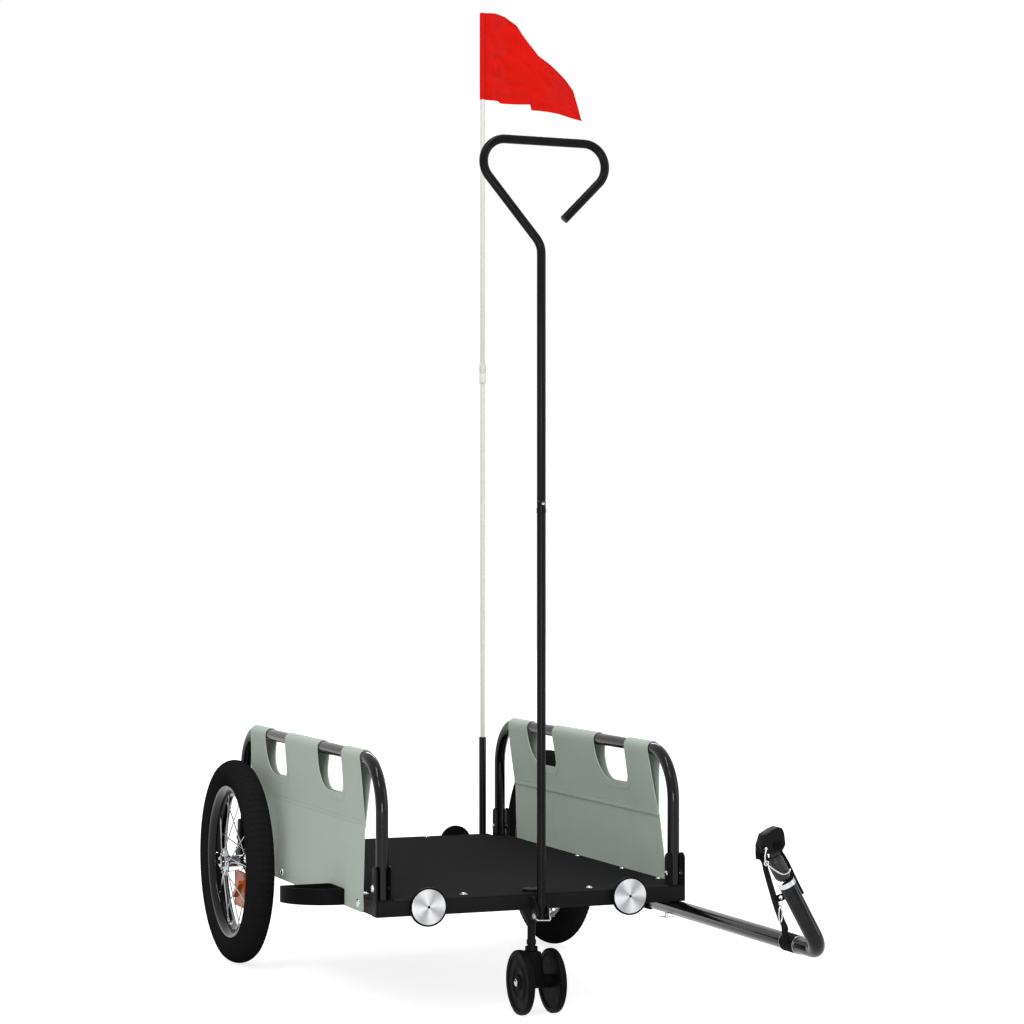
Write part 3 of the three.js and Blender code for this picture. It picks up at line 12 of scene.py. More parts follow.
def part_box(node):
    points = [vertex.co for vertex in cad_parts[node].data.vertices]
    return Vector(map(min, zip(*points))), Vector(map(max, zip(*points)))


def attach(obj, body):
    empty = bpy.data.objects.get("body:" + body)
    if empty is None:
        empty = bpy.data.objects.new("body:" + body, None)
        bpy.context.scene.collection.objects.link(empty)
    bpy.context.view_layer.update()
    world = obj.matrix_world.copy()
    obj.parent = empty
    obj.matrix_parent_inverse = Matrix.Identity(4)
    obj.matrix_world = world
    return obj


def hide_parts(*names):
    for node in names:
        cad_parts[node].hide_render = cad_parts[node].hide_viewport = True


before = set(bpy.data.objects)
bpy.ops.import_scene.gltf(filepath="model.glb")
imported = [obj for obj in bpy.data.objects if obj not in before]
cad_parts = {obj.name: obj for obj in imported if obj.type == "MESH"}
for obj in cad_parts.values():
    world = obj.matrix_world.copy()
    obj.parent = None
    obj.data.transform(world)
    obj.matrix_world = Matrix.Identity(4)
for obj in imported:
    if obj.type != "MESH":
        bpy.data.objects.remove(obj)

log = logging.getLogger("bike_trailer")

MM = 0.001
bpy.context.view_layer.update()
PANEL_LOW, PANEL_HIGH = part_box("deck_panel")
ORIGIN = Vector(((PANEL_LOW.x + PANEL_HIGH.x) / 2, (PANEL_LOW.y + PANEL_HIGH.y) / 2, 0.0))

X = Vector((1.0, 0.0, 0.0))
Y = Vector((0.0, 1.0, 0.0))
Z = Vector((0.0, 0.0, 1.0))
GAP = 0.3
SIDES = (("right", -1), ("left", 1))


class Body(Enum):
    """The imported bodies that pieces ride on."""

    CHASSIS = "chassis"
    LEFT_WHEEL = "left_wheel"
    RIGHT_WHEEL = "right_wheel"
    LEFT_RELEASE = "left_release"
    RIGHT_RELEASE = "right_release"
    CASTER_FORK = "caster_fork"
    LEFT_ROLLER = "left_caster_roller"
    RIGHT_ROLLER = "right_caster_roller"
    HANDLE = "handle"
    HANDLE_BUTTON = "handle_button"
    FLAG_MAST = "flag_mast"
    HITCH_JOINT = "hitch_joint"
    HITCH_HEAD = "hitch_head"


def linear(code: str) -> tuple[float, float, float, float]:
    """Turns a six-figure colour code into a linear colour.

    Args:
        code: The colour as it looks on a screen, such as "9ba49c".

    Returns:
        The red, green, blue and alpha that Blender takes.
    """
    parts = [int(code[i : i + 2], 16) / 255 for i in (0, 2, 4)]
    flat = [c / 12.92 if c <= 0.04045 else ((c + 0.055) / 1.055) ** 2.4 for c in parts]
    return (*flat, 1.0)


class Graph:
    """The nodes of one material, on object coordinates."""

    def __init__(self, name: str) -> None:
        """Starts a material with its shader and output."""
        self.material = bpy.data.materials.new(name)
        self.material.use_nodes = True
        self.nodes = self.material.node_tree.nodes
        self.links = self.material.node_tree.links
        self.shader = self.nodes["Principled BSDF"]
        self.output = self.nodes["Material Output"]
        self.place = self.add("ShaderNodeTexCoord").outputs["Object"]

    def add(self, kind: str, **values: object) -> bpy.types.Node:
        """Adds a node and sets its properties or its sockets.

        Args:
            kind: The node's type.
            values: Properties by name, or input values whose names end with an underscore.

        Returns:
            The new node.
        """
        node = self.nodes.new(kind)
        for key, value in values.items():
            if key.endswith("_"):
                node.inputs[key[:-1].replace("__", " ")].default_value = value
            else:
                setattr(node, key, value)
        return node

    def set(self, **values: object) -> None:
        """Sets constants on the shader's own sockets."""
        for key, value in values.items():
            self.shader.inputs[key.replace("__", " ")].default_value = value

    def noise(self, size: float, detail: float = 3.0, where: Optional[bpy.types.NodeSocket] = None):
        """Noise whose blots are some millimetres across.

        Args:
            size: The size of a blot in millimetres.
            detail: How many finer layers it has.
            where: Coordinates other than the object's.

        Returns:
            The socket with its strength.
        """
        node = self.add("ShaderNodeTexNoise", Scale_=1 / (size * MM), Detail_=detail)
        self.links.new(where or self.place, node.inputs["Vector"])
        return node.outputs["Fac"]

    def span(
        self, source: bpy.types.NodeSocket, low: float, high: float, start: float = 0.3, end: float = 0.7
    ) -> bpy.types.NodeSocket:
        """Maps a strength between two values.

        Args:
            source: The socket that is mapped.
            low: The value at and below start.
            high: The value at and above end.
            start: Where the change starts.
            end: Where it ends.

        Returns:
            The mapped socket.
        """
        node = self.add("ShaderNodeMapRange")
        self.links.new(source, node.inputs["Value"])
        for key, value in (("From Min", start), ("From Max", end), ("To Min", low), ("To Max", high)):
            node.inputs[key].default_value = value
        return node.outputs["Result"]

    def mix(self, strength: bpy.types.NodeSocket, first: object, second: object):
        """Mixes two colours, each a colour or a socket, by a strength and returns the socket."""
        node = self.add("ShaderNodeMix", data_type="RGBA")
        self.links.new(strength, node.inputs["Factor"])
        for key, value in ((6, first), (7, second)):
            if isinstance(value, bpy.types.NodeSocket):
                self.links.new(value, node.inputs[key])
            else:
                node.inputs[key].default_value = value
        return node.outputs[2]

    def math(self, operation: str, first: object, second: object = 0.0):
        """Joins two values, each a number or a socket, and returns the socket."""
        node = self.add("ShaderNodeMath", operation=operation)
        for key, value in enumerate((first, second)):
            if isinstance(value, bpy.types.NodeSocket):
                self.links.new(value, node.inputs[key])
            else:
                node.inputs[key].default_value = value
        return node.outputs[0]

    def colour(self, source: bpy.types.NodeSocket) -> None:
        """Feeds the shader's colour."""
        self.links.new(source, self.shader.inputs["Base Color"])

    def rough(self, source: bpy.types.NodeSocket) -> None:
        """Feeds the shader's roughness."""
        self.links.new(source, self.shader.inputs["Roughness"])

    def relief(self, source: bpy.types.NodeSocket, height: float, before=None):
        """Feeds the shader's normal from a height in millimetres.

        Args:
            source: The socket with the height from 0 to 1.
            height: How high 1 is, in millimetres.
            before: Another relief's normal under this one.

        Returns:
            The normal's socket.
        """
        node = self.add("ShaderNodeBump", Strength_=1.0, Distance_=height * MM)
        self.links.new(source, node.inputs["Height"])
        if before is not None:
            self.links.new(before, node.inputs["Normal"])
        self.links.new(node.outputs["Normal"], self.shader.inputs["Normal"])
        return node.outputs["Normal"]


@dataclass(frozen=True)
class Finish:
    """A finish that is made into a material once."""

    name: str
    colour: str
    second: str
    roughness: float

    def dress(self, graph: Graph) -> None:
        """Builds the material's nodes: mottled colour and roughness."""
        blots = graph.noise(18)
        graph.colour(graph.mix(blots, linear(self.colour), linear(self.second)))
        graph.rough(graph.span(blots, self.roughness * 0.85, min(1.0, self.roughness * 1.15)))

    def material(self) -> bpy.types.Material:
        """Returns the material, made on first use."""
        found = bpy.data.materials.get(self.name)
        if found is not None:
            return found
        graph = Graph(self.name)
        self.dress(graph)
        return graph.material


@dataclass(frozen=True)
class Paint(Finish):
    """Powder coat or gloss paint with a faint orange peel."""

    peel: float = 0.02
    peel_size: float = 1.4
    coat: float = 0.0
    specular: float = 0.5

    def dress(self, graph: Graph) -> None:
        """Builds the paint's nodes."""
        super().dress(graph)
        graph.set(Coat__Weight=self.coat, Coat__Roughness=0.08, Specular__IOR__Level=self.specular)
        graph.relief(graph.noise(self.peel_size, 2), self.peel)


@dataclass(frozen=True)
class Metal(Finish):
    """Bare or plated metal with fine brushing."""

    brush: float = 0.01

    def dress(self, graph: Graph) -> None:
        """Builds the metal's nodes."""
        super().dress(graph)
        graph.set(Metallic=1.0)
        graph.relief(graph.noise(0.6, 4), self.brush)


@dataclass(frozen=True)
class Rubber(Finish):
    """Matt rubber or moulded plastic with a fine grain."""

    grain: float = 0.05
    grain_size: float = 0.8
    specular: float = 0.35

    def dress(self, graph: Graph) -> None:
        """Builds the rubber's nodes."""
        super().dress(graph)
        graph.set(Specular__IOR__Level=self.specular)
        graph.relief(graph.noise(self.grain_size, 5), self.grain)


class Weave(Enum):
    """How the threads of a cloth lie."""

    PLAIN = "plain"
    TWILL = "twill"


@dataclass(frozen=True)
class Cloth(Finish):
    """Woven cloth, with threads along the object's Y and Z."""

    thread: float = 1.0
    height: float = 0.12
    sheen: float = 0.15
    coat: float = 0.0
    specular: float = 0.3
    weave: Weave = Weave.PLAIN

    def dress(self, graph: Graph) -> None:
        """Builds the weave's nodes."""
        split = graph.add("ShaderNodeSeparateXYZ")
        graph.links.new(graph.place, split.inputs[0])
        step = 2 * math.pi / (self.thread * MM)
        warp = graph.math("SINE", graph.math("MULTIPLY", split.outputs["Y"], step))
        weft = graph.math("SINE", graph.math("MULTIPLY", split.outputs["Z"], step))
        if self.weave is Weave.TWILL:
            slant = graph.math("ADD", split.outputs["Y"], split.outputs["Z"])
            warp = graph.math("SINE", graph.math("MULTIPLY", slant, step / 2))
        threads = graph.span(graph.math("MULTIPLY", warp, weft), 0, 1, -1, 1)
        blots = graph.noise(45, 4)
        fuzz = graph.noise(3, 3)
        ground = graph.mix(blots, linear(self.colour), linear(self.second))
        dark = graph.add("ShaderNodeMix", data_type="RGBA", blend_type="MULTIPLY")
        dark.inputs["Factor"].default_value = 0.16
        graph.links.new(ground, dark.inputs[6])
        graph.links.new(graph.mix(threads, (0.55, 0.55, 0.55, 1), (1, 1, 1, 1)), dark.inputs[7])
        graph.colour(dark.outputs[2])
        graph.rough(graph.span(fuzz, self.roughness * 0.92, min(1.0, self.roughness * 1.05)))
        graph.set(Sheen__Weight=self.sheen, Sheen__Roughness=0.5, Coat__Weight=self.coat, Coat__Roughness=0.2)
        graph.set(Specular__IOR__Level=self.specular)
        first = graph.relief(threads, self.height)
        graph.relief(fuzz, self.height * 0.6, first)


@dataclass(frozen=True)
class PaintedGlintFacets(Finish):
    """A bright lens whose facets run out from its middle, shown as light and dark streaks of painted
    reflection.
    """

    centre: tuple[float, float] = (0.0, 0.0)
    glint_rays: int = 4

    def dress(self, graph: Graph) -> None:
        """Builds the painted reflection's light and dark streaks round the middle, whose X and Z are given in
        metres.
        """
        split = graph.add("ShaderNodeSeparateXYZ")
        graph.links.new(graph.place, split.inputs[0])
        across_it = graph.math("SUBTRACT", split.outputs["X"], self.centre[0])
        up_it = graph.math("SUBTRACT", split.outputs["Z"], self.centre[1])
        angle = graph.math("ARCTAN2", up_it, across_it)
        wave = graph.math("SINE", graph.math("ADD", graph.math("MULTIPLY", angle, self.glint_rays), 0.6))
        # Painted reflection: light and dark streaks by angle round the middle stand in for the facets'
        # glints.
        glint_rays = graph.span(graph.math("ADD", wave, graph.noise(9, 2)), 0, 1, -0.5, 1.4)
        graph.colour(graph.mix(glint_rays, linear(self.second), linear(self.colour)))
        graph.set(Metallic=0.25, Roughness=self.roughness, Coat__Weight=0.3, Coat__Roughness=0.05)
        graph.relief(graph.noise(0.5, 2), 0.02)


@dataclass(frozen=True)
class Lens(Finish):
    """A moulded reflector lens with rows of small prisms."""

    prism: float = 3.0
    height: float = 0.5

    def dress(self, graph: Graph) -> None:
        """Builds the lens's nodes."""
        cells = graph.add("ShaderNodeTexVoronoi", Scale_=1 / (self.prism * MM), Randomness_=0.0)
        graph.links.new(graph.place, cells.inputs["Vector"])
        deep = graph.span(cells.outputs["Distance"], 0, 1, 0.0, 0.7)
        graph.colour(graph.mix(deep, linear(self.colour), linear(self.second)))
        graph.set(Roughness=self.roughness, Specular__IOR__Level=0.2, Coat__Weight=0.1, Coat__Roughness=0.05)
        graph.relief(deep, self.height)


FRAME_PAINT = Paint("frame_paint", "101011", "141415", 0.5, peel=0.03, peel_size=0.9, specular=0.06)
TUBE_PAINT = Paint("tube_paint", "08080a", "0c0c0e", 0.14, peel=0.006, peel_size=2.5, specular=0.2)
HANDLE_PAINT = Paint("handle_paint", "0c0c0d", "111112", 0.3, peel=0.015, peel_size=1.2, specular=0.08)
BOARD = Paint("load_board", "242425", "282829", 0.8, peel=0.05, peel_size=0.7, specular=0.0)
ZINC = Metal("zinc", "c9ccce", "b4b8bb", 0.22)
CHROME = Metal("bright_chrome", "aeb0b2", "9c9fa2", 0.08, brush=0.004)
TYRE = Rubber("tread_rubber", "1a1a1a", "1f1f1f", 0.8, grain=0.08, grain_size=1.2, specular=0.0)
MOULDED = Rubber("moulded_plastic", "0b0b0c", "0f0f10", 0.48, grain=0.02, grain_size=0.6, specular=0.03)
BOOT = Rubber("joint_rubber", "1a1a1b", "222223", 0.38, grain=0.02, grain_size=1.0, specular=0.25)
SAGE = Cloth("sage_cloth", "a4aea5", "9ea89f", 0.82, thread=1.1, height=0.05)
WEBBING = Cloth(
    "strap_webbing", "101011", "151516", 0.85, thread=1.6, height=0.25, sheen=0.0, specular=0.05,
    weave=Weave.TWILL
)
# Light grey metal for the thin rings at the strap band's two edges.
BAND_EDGE_METAL = Metal("selvage", "c4c8cb", "aeb3b7", 0.35)
THREAD = Cloth("sewing_thread", "a0aaa1", "99a39a", 0.8, thread=0.5, height=0.05)
PENNANT = Cloth(
    "pennant_cloth", "cf150b", "c6110a", 0.38, thread=0.7, height=0.02, sheen=0.0, coat=0.0, specular=0.05
)
POLE = Paint("fibreglass", "d0d1cc", "cbccc7", 0.35, peel=0.0, peel_size=0.8)
ORANGE = Lens("amber_lens", "b95204", "934203", 0.25, prism=3.4, height=0.2)
RED = Lens("ruby_lens", "b3120f", "7d0806", 0.2, prism=2.6)

def across(axis: Vector) -> tuple[Vector, Vector]:
    """Two directions that are square to an axis and to each other."""
    helper = Z if abs(axis.z) < 0.9 else X
    first = helper.cross(axis).normalized()
    return first, axis.cross(first).normalized()


def bent(corners: Sequence[Vector], bend: float, steps: int = 14) -> list[Vector]:
    """A run of straight legs joined by round bends.

    Args:
        corners: The run's ends and corners.
        bend: The bends' radius.
        steps: The number of steps in each bend.

    Returns:
        The points of the run.
    """
    points = [corners[0].copy()]
    for before, corner, after in zip(corners, corners[1:], corners[2:]):
        inward = (corner - before).normalized()
        outward = (after - corner).normalized()
        turn = inward.angle(outward)
        side = (outward - inward * inward.dot(outward)).normalized()
        start = corner - inward * (bend * math.tan(turn / 2))
        centre = start + side * bend
        for i in range(steps + 1):
            angle = turn * i / steps
            points.append(centre - side * (bend * math.cos(angle)) + inward * (bend * math.sin(angle)))
    points.append(corners[-1].copy())
    return points


def smooth_line(points: Sequence[Vector], steps: int = 8) -> list[Vector]:
    """A smooth line through some points.

    Args:
        points: The places that it passes.
        steps: The number of steps between two of them.

    Returns:
        The line's points.
    """
    line: list[Vector] = []
    count = len(points)
    for i in range(count - 1):
        a, b, c, d = (points[min(max(i + k, 0), count - 1)] for k in (-1, 0, 1, 2))
        for j in range(steps):
            t = j / steps
            square, cube = 2 * a - 5 * b + 4 * c - d, 3 * b - a - 3 * c + d
            line.append(0.5 * ((2 * b) + (c - a) * t + square * t**2 + cube * t**3))
    line.append(points[-1].copy())
    return line


def headings(points: Sequence[Vector]) -> list[Vector]:
    """The direction of a line at each of its points."""
    last = len(points) - 1
    return [(points[min(i + 1, last)] - points[max(i - 1, 0)]).normalized() for i in range(last + 1)]


def circle(radius: float, sides: int) -> list[tuple[float, float]]:
    """The corners of a circle's polygon."""
    return [
        (radius * math.cos(2 * math.pi * i / sides), radius * math.sin(2 * math.pi * i / sides))
        for i in range(sides)
    ]


def rounded(width: float, height: float, radius: float, steps: int = 4) -> list[tuple[float, float]]:
    """A rectangle with round corners, about its middle."""
    outline = []
    for sign_x, sign_y, start in ((1, 1, 0), (-1, 1, 90), (-1, -1, 180), (1, -1, 270)):
        for i in range(steps + 1):
            angle = math.radians(start + 90 * i / steps)
            outline.append(
                (
                    sign_x * (width / 2 - radius) + radius * math.cos(angle),
                    sign_y * (height / 2 - radius) + radius * math.sin(angle),
                )
            )
    return outline


class Form:
    """The faces of one piece, in millimetres from the deck's middle on the ground."""

    def __init__(self) -> None:
        """Starts with nothing."""
        self.points: list[Vector] = []
        self.faces: list[list[int]] = []

    def loft(self, rings: Sequence[Sequence[Vector]], caps: bool = True, loop: bool = False) -> "Form":
        """Joins rings of points with a skin.

        Args:
            rings: The rings, each with the same number of points.
            caps: Whether the first and last ring are closed.
            loop: Whether the last ring is joined to the first.

        Returns:
            This form.
        """
        start = len(self.points)
        sides = len(rings[0])
        for ring in rings:
            self.points.extend(ring)
        count = len(rings)
        for i in range(count if loop else count - 1):
            low, high = start + i * sides, start + ((i + 1) % count) * sides
            for j in range(sides):
                k = (j + 1) % sides
                self.faces.append([low + j, low + k, high + k, high + j])
        if caps and not loop:
            self.faces.append([start + j for j in reversed(range(sides))])
            self.faces.append([start + (count - 1) * sides + j for j in range(sides)])
        return self

    def tube(self, path: Sequence[Vector], radius: float, sides: int = 40, loop: bool = False) -> "Form":
        """Sweeps a circle along a path and returns this form."""
        return self.sweep(path, circle(radius, sides), loop=loop)

    def sweep(
        self,
        path: Sequence[Vector],
        outline: Sequence[tuple[float, float]],
        widths: Optional[Sequence[Vector]] = None,
        loop: bool = False,
    ) -> "Form":
        """Sweeps an outline along a path.

        Args:
            path: The places that it passes.
            outline: The outline's corners, across the path.
            widths: The direction of the outline's first axis at each place, or None.
            loop: Whether the path closes on itself.

        Returns:
            This form.
        """
        along = headings(path)
        if loop:
            along = [(path[(i + 1) % len(path)] - path[i - 1]).normalized() for i in range(len(path))]
        normal = across(along[0])[0]
        rings = []
        for i, place in enumerate(path):
            if i:
                normal = along[i - 1].rotation_difference(along[i]) @ normal
            if widths is not None:
                normal = widths[i]
            normal = (normal - along[i] * normal.dot(along[i])).normalized()
            side = along[i].cross(normal)
            rings.append([place + normal * u + side * v for u, v in outline])
        return self.loft(rings, loop=loop)

    def lathe(
        self, profile: Sequence[tuple[float, float]], at: Vector, axis: Vector = Z, sides: int = 64
    ) -> "Form":
        """Turns a profile of radius and height round an axis.

        Args:
            profile: The profile's corners. It is closed if its first and last are one.
            at: The place of height 0.
            axis: The axis's direction.
            sides: The number of sides.

        Returns:
            This form.
        """
        u, v = across(axis)
        closed = profile[0] == profile[-1]
        rings = [
            [at + axis * height + (u * c + v * s) * radius for c, s in circle(1.0, sides)]
            for radius, height in (profile[:-1] if closed else profile)
        ]
        return self.loft(rings, caps=False, loop=closed)

    def prism(
        self,
        outline: Sequence[tuple[float, float]],
        axis: Vector,
        low: float,
        high: float,
        turn: Matrix = Matrix(),
    ) -> "Form":
        """Extrudes an outline between two places on an axis.

        Args:
            outline: Pairs in Y and Z for the X axis, in X and Z for Y, or in X and Y for Z.
            axis: X, Y or Z.
            low: The first place.
            high: The last place.
            turn: A matrix for the result.

        Returns:
            This form.
        """
        put: Callable[[float, float, float], Vector]
        if axis is X:
            put = lambda a, b, h: Vector((h, a, b))
        elif axis is Y:
            put = lambda a, b, h: Vector((a, h, b))
        else:
            put = lambda a, b, h: Vector((a, b, h))
        return self.loft([[turn @ put(a, b, h) for a, b in outline] for h in (low, high)])

    def box(self, low: Sequence[float], high: Sequence[float]) -> "Form":
        """Adds a box between two corners and returns this form."""
        outline = [(low[0], low[1]), (high[0], low[1]), (high[0], high[1]), (low[0], high[1])]
        return self.prism(outline, Z, low[2], high[2])

    def moved(self, matrix: Matrix) -> "Form":
        """Moves all points by a matrix and returns this form."""
        self.points = [matrix @ p for p in self.points]
        return self

    def mirrored(self, sign: int) -> "Form":
        """Swaps left and right if the sign is negative and returns this form."""
        if sign < 0:
            self.points = [Vector((-p.x, p.y, p.z)) for p in self.points]
        return self

    def object(self, name: str, finish: Finish, origin: Vector = ORIGIN) -> bpy.types.Object:
        """Makes the mesh object, in metres in the frame's place.

        Args:
            name: The object's name.
            finish: Its finish.
            origin: Where the form's zero goes, in metres.

        Returns:
            The object, with faces that point outwards.
        """
        mesh = bpy.data.meshes.new(name)
        mesh.from_pydata([p * MM + origin for p in self.points], [], self.faces)
        work = bmesh.new()
        work.from_mesh(mesh)
        bmesh.ops.remove_doubles(work, verts=work.verts, dist=0.002 * MM)
        bmesh.ops.dissolve_degenerate(work, edges=work.edges, dist=0.001 * MM)
        bmesh.ops.recalc_face_normals(work, faces=work.faces)
        work.to_mesh(mesh)
        work.free()
        made = bpy.data.objects.new(name, mesh)
        bpy.context.scene.collection.objects.link(made)
        mesh.materials.append(finish.material())
        return made


def settle(made: bpy.types.Object, smooth: float = 32.0) -> bpy.types.Object:
    """Turns an object with live modifiers into a plain smooth-shaded mesh.

    Args:
        made: The object.
        smooth: The angle in degrees above which an edge stays sharp.

    Returns:
        The same object.
    """
    if made.modifiers:
        graph = bpy.context.evaluated_depsgraph_get()
        graph.update()
        mesh = bpy.data.meshes.new_from_object(made.evaluated_get(graph), depsgraph=graph)
        old = made.data
        made.modifiers.clear()
        made.data = mesh
        bpy.data.meshes.remove(old)
    made.data.name = made.name
    made.data.shade_smooth()
    made.data.set_sharp_from_angle(angle=math.radians(smooth))
    return made


def bevelled(made: bpy.types.Object, width: float, segments: int = 2) -> bpy.types.Object:
    """Rounds an object's sharp edges by some millimetres and returns it."""
    bevel = made.modifiers.new("bevel", "BEVEL")
    bevel.width = width * MM
    bevel.segments = segments
    bevel.limit_method = "ANGLE"
    bevel.angle_limit = math.radians(38)
    return settle(made)


def carve(base: bpy.types.Object, tool: bpy.types.Object, operation: str) -> bpy.types.Object:
    """Joins, cuts or intersects an object with a tool, which is used up.

    Args:
        base: The object that is changed.
        tool: The tool.
        operation: UNION, DIFFERENCE or INTERSECT.

    Returns:
        The base.
    """
    step = base.modifiers.new("carve", "BOOLEAN")
    step.operation = operation
    step.solver = "EXACT"
    step.object = tool
    settle(base)
    bpy.data.objects.remove(tool)
    return base


def fit(
    made: bpy.types.Object, body: Body, replaces: Sequence[str] = ()
) -> bpy.types.Object:
    """Puts a finished piece on its body and hides the CAD nodes that it stands for.

    Args:
        made: The piece.
        body: The body that it rides on.
        replaces: The CAD nodes that it stands for.

    Returns:
        The piece.
    """
    if replaces:
        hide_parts(*replaces)
    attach(made, body.value)
    log.info("%s: %d faces on %s", made.name, len(made.data.polygons), body.value)
    return made


class Recipe:
    """A Geometry Nodes tree that is built in the script and turned into a plain mesh."""

    def __init__(self, name: str, inputs: dict[str, tuple[str, object]]) -> None:
        """Starts a tree.

        Args:
            name: The tree's name.
            inputs: The type and value of each named input.
        """
        self.tree = bpy.data.node_groups.new(name, "GeometryNodeTree")
        face = self.tree.interface
        face.new_socket("Geometry", in_out="INPUT", socket_type="NodeSocketGeometry")
        for key, (kind, value) in inputs.items():
            socket = face.new_socket(key, in_out="INPUT", socket_type=kind)
            if value is not None:
                socket.default_value = value
        face.new_socket("Geometry", in_out="OUTPUT", socket_type="NodeSocketGeometry")
        self.source = self.tree.nodes.new("NodeGroupInput")
        self.result = self.tree.nodes.new("NodeGroupOutput")

    def add(self, kind: str, **values: object) -> bpy.types.Node:
        """Adds a node, sets its properties and links or fills its sockets.

        Args:
            kind: The node's type.
            values: Properties, or sockets and values for inputs whose names end with an underscore.

        Returns:
            The node.
        """
        node = self.tree.nodes.new(kind)
        for key, value in values.items():
            if not key.endswith("_"):
                setattr(node, key, value)
                continue
            name = key[:-1].replace("__", " ")
            socket = node.inputs[
                int(name[1:])
            ] if name[0] == "n" and name[1:].isdigit() else node.inputs[name]
            if isinstance(value, bpy.types.NodeSocket):
                self.tree.links.new(value, socket)
            else:
                socket.default_value = value
        return node

    def finish(self, geometry: bpy.types.NodeSocket, finish: Finish) -> None:
        """Ends the tree with real meshes and their material."""
        real = self.add("GeometryNodeRealizeInstances", Geometry_=geometry)
        dressed = self.add("GeometryNodeSetMaterial", Geometry_=real.outputs[0])
        dressed.inputs["Material"].default_value = finish.material()
        self.tree.links.new(dressed.outputs[0], self.result.inputs[0])

    def make(
        self,
        name: str,
        finish: Finish,
        points: Sequence[Vector] = (),
        edges: Sequence[tuple[int, int]] = (),
        turns: Sequence[float] = (),
        **values: object,
    ) -> bpy.types.Object:
        """Runs the tree on some points and edges.

        Args:
            name: The object's name.
            finish: Its finish.
            points: Points in millimetres from the deck's middle.
            edges: Pairs of points that are joined.
            turns: Each point's own angle in radians.
            values: Inputs by name, with double underscores for spaces.

        Returns:
            The object as a plain mesh.
        """
        mesh = bpy.data.meshes.new(name)
        mesh.from_pydata([p * MM + ORIGIN for p in points], list(edges), [])
        if turns:
            mesh.attributes.new("turn", "FLOAT", "POINT").data.foreach_set("value", list(turns))
        made = bpy.data.objects.new(name, mesh)
        bpy.context.scene.collection.objects.link(made)
        step = made.modifiers.new(self.tree.name, "NODES")
        step.node_group = self.tree
        items = self.tree.interface.items_tree
        names = {item.name: item.identifier for item in items if item.in_out == "INPUT"}
        for key, value in values.items():
            step[names[key.replace("__", " ")]] = value
        settle(made, 40)
        if not made.data.materials:
            made.data.materials.append(finish.material())
        return made


def rod_recipe(name: str, finish: Finish, sides: int) -> Recipe:
    """A tree that turns each edge into a round rod.

    Args:
        name: The tree's name.
        finish: The rods' finish.
        sides: The number of sides of a rod.

    Returns:
        The tree, with an input named Radius.
    """
    recipe = Recipe(name, {"Radius": ("NodeSocketFloat", 0.001)})
    lines = recipe.add("GeometryNodeMeshToCurve", Mesh_=recipe.source.outputs["Geometry"])
    ring = recipe.add(
        "GeometryNodeCurvePrimitiveCircle", Resolution_=sides, Radius_=recipe.source.outputs["Radius"]
    )
    rods = recipe.add("GeometryNodeCurveToMesh", Curve_=lines.outputs[0], Profile__Curve_=ring.outputs[0])
    rods.inputs["Fill Caps"].default_value = True
    recipe.finish(rods.outputs[0], finish)
    return recipe


def stitch_recipe(name: str, finish: Finish) -> Recipe:
    """A tree that lays stitches along edges.

    Args:
        name: The tree's name.
        finish: The thread's finish.

    Returns:
        The tree, with inputs named Spacing, Length and Thickness.
    """
    inputs = {
        "Spacing": ("NodeSocketFloat", 3.2 * MM),
        "Length": ("NodeSocketFloat", 2.4 * MM),
        "Thickness": ("NodeSocketFloat", 0.35 * MM),
    }
    recipe = Recipe(name, inputs)
    given = recipe.source.outputs
    lines = recipe.add("GeometryNodeMeshToCurve", Mesh_=given["Geometry"])
    spaced = recipe.add(
        "GeometryNodeCurveToPoints", mode="LENGTH", Curve_=lines.outputs[0], Length_=given["Spacing"]
    )
    stitch = recipe.add(
        "GeometryNodeMeshCylinder", Vertices_=6, Radius_=given["Thickness"], Depth_=given["Length"]
    )
    turned = recipe.add("FunctionNodeAlignRotationToVector", axis="Z", Vector_=spaced.outputs["Tangent"])
    laid = recipe.add(
        "GeometryNodeInstanceOnPoints",
        Points_=spaced.outputs["Points"],
        Instance_=stitch.outputs["Mesh"],
        Rotation_=turned.outputs[0],
    )
    recipe.finish(laid.outputs[0], finish)
    return recipe


def copies_recipe(name: str, finish: Finish) -> Recipe:
    """A tree that puts a copy of one shape at each point, turned round an axis by the point's own angle.

    Args:
        name: The tree's name.
        finish: The copies' finish.

    Returns:
        The tree, with inputs named Shape and Axis; angles come from the attribute "turn".
    """
    inputs = {"Shape": ("NodeSocketObject", None), "Axis": ("NodeSocketVector", (1.0, 0.0, 0.0))}
    recipe = Recipe(name, inputs)
    given = recipe.source.outputs
    points = recipe.add("GeometryNodeMeshToPoints", Mesh_=given["Geometry"])
    shape = recipe.add("GeometryNodeObjectInfo", Object_=given["Shape"])
    angle = recipe.add("GeometryNodeInputNamedAttribute", data_type="FLOAT", Name_="turn")
    turn = recipe.add(
        "FunctionNodeAxisAngleToRotation", Axis_=given["Axis"], Angle_=angle.outputs["Attribute"]
    )
    laid = recipe.add(
        "GeometryNodeInstanceOnPoints",
        Points_=points.outputs[0],
        Instance_=shape.outputs["Geometry"],
        Rotation_=turn.outputs[0],
    )
    recipe.finish(laid.outputs[0], finish)
    return recipe


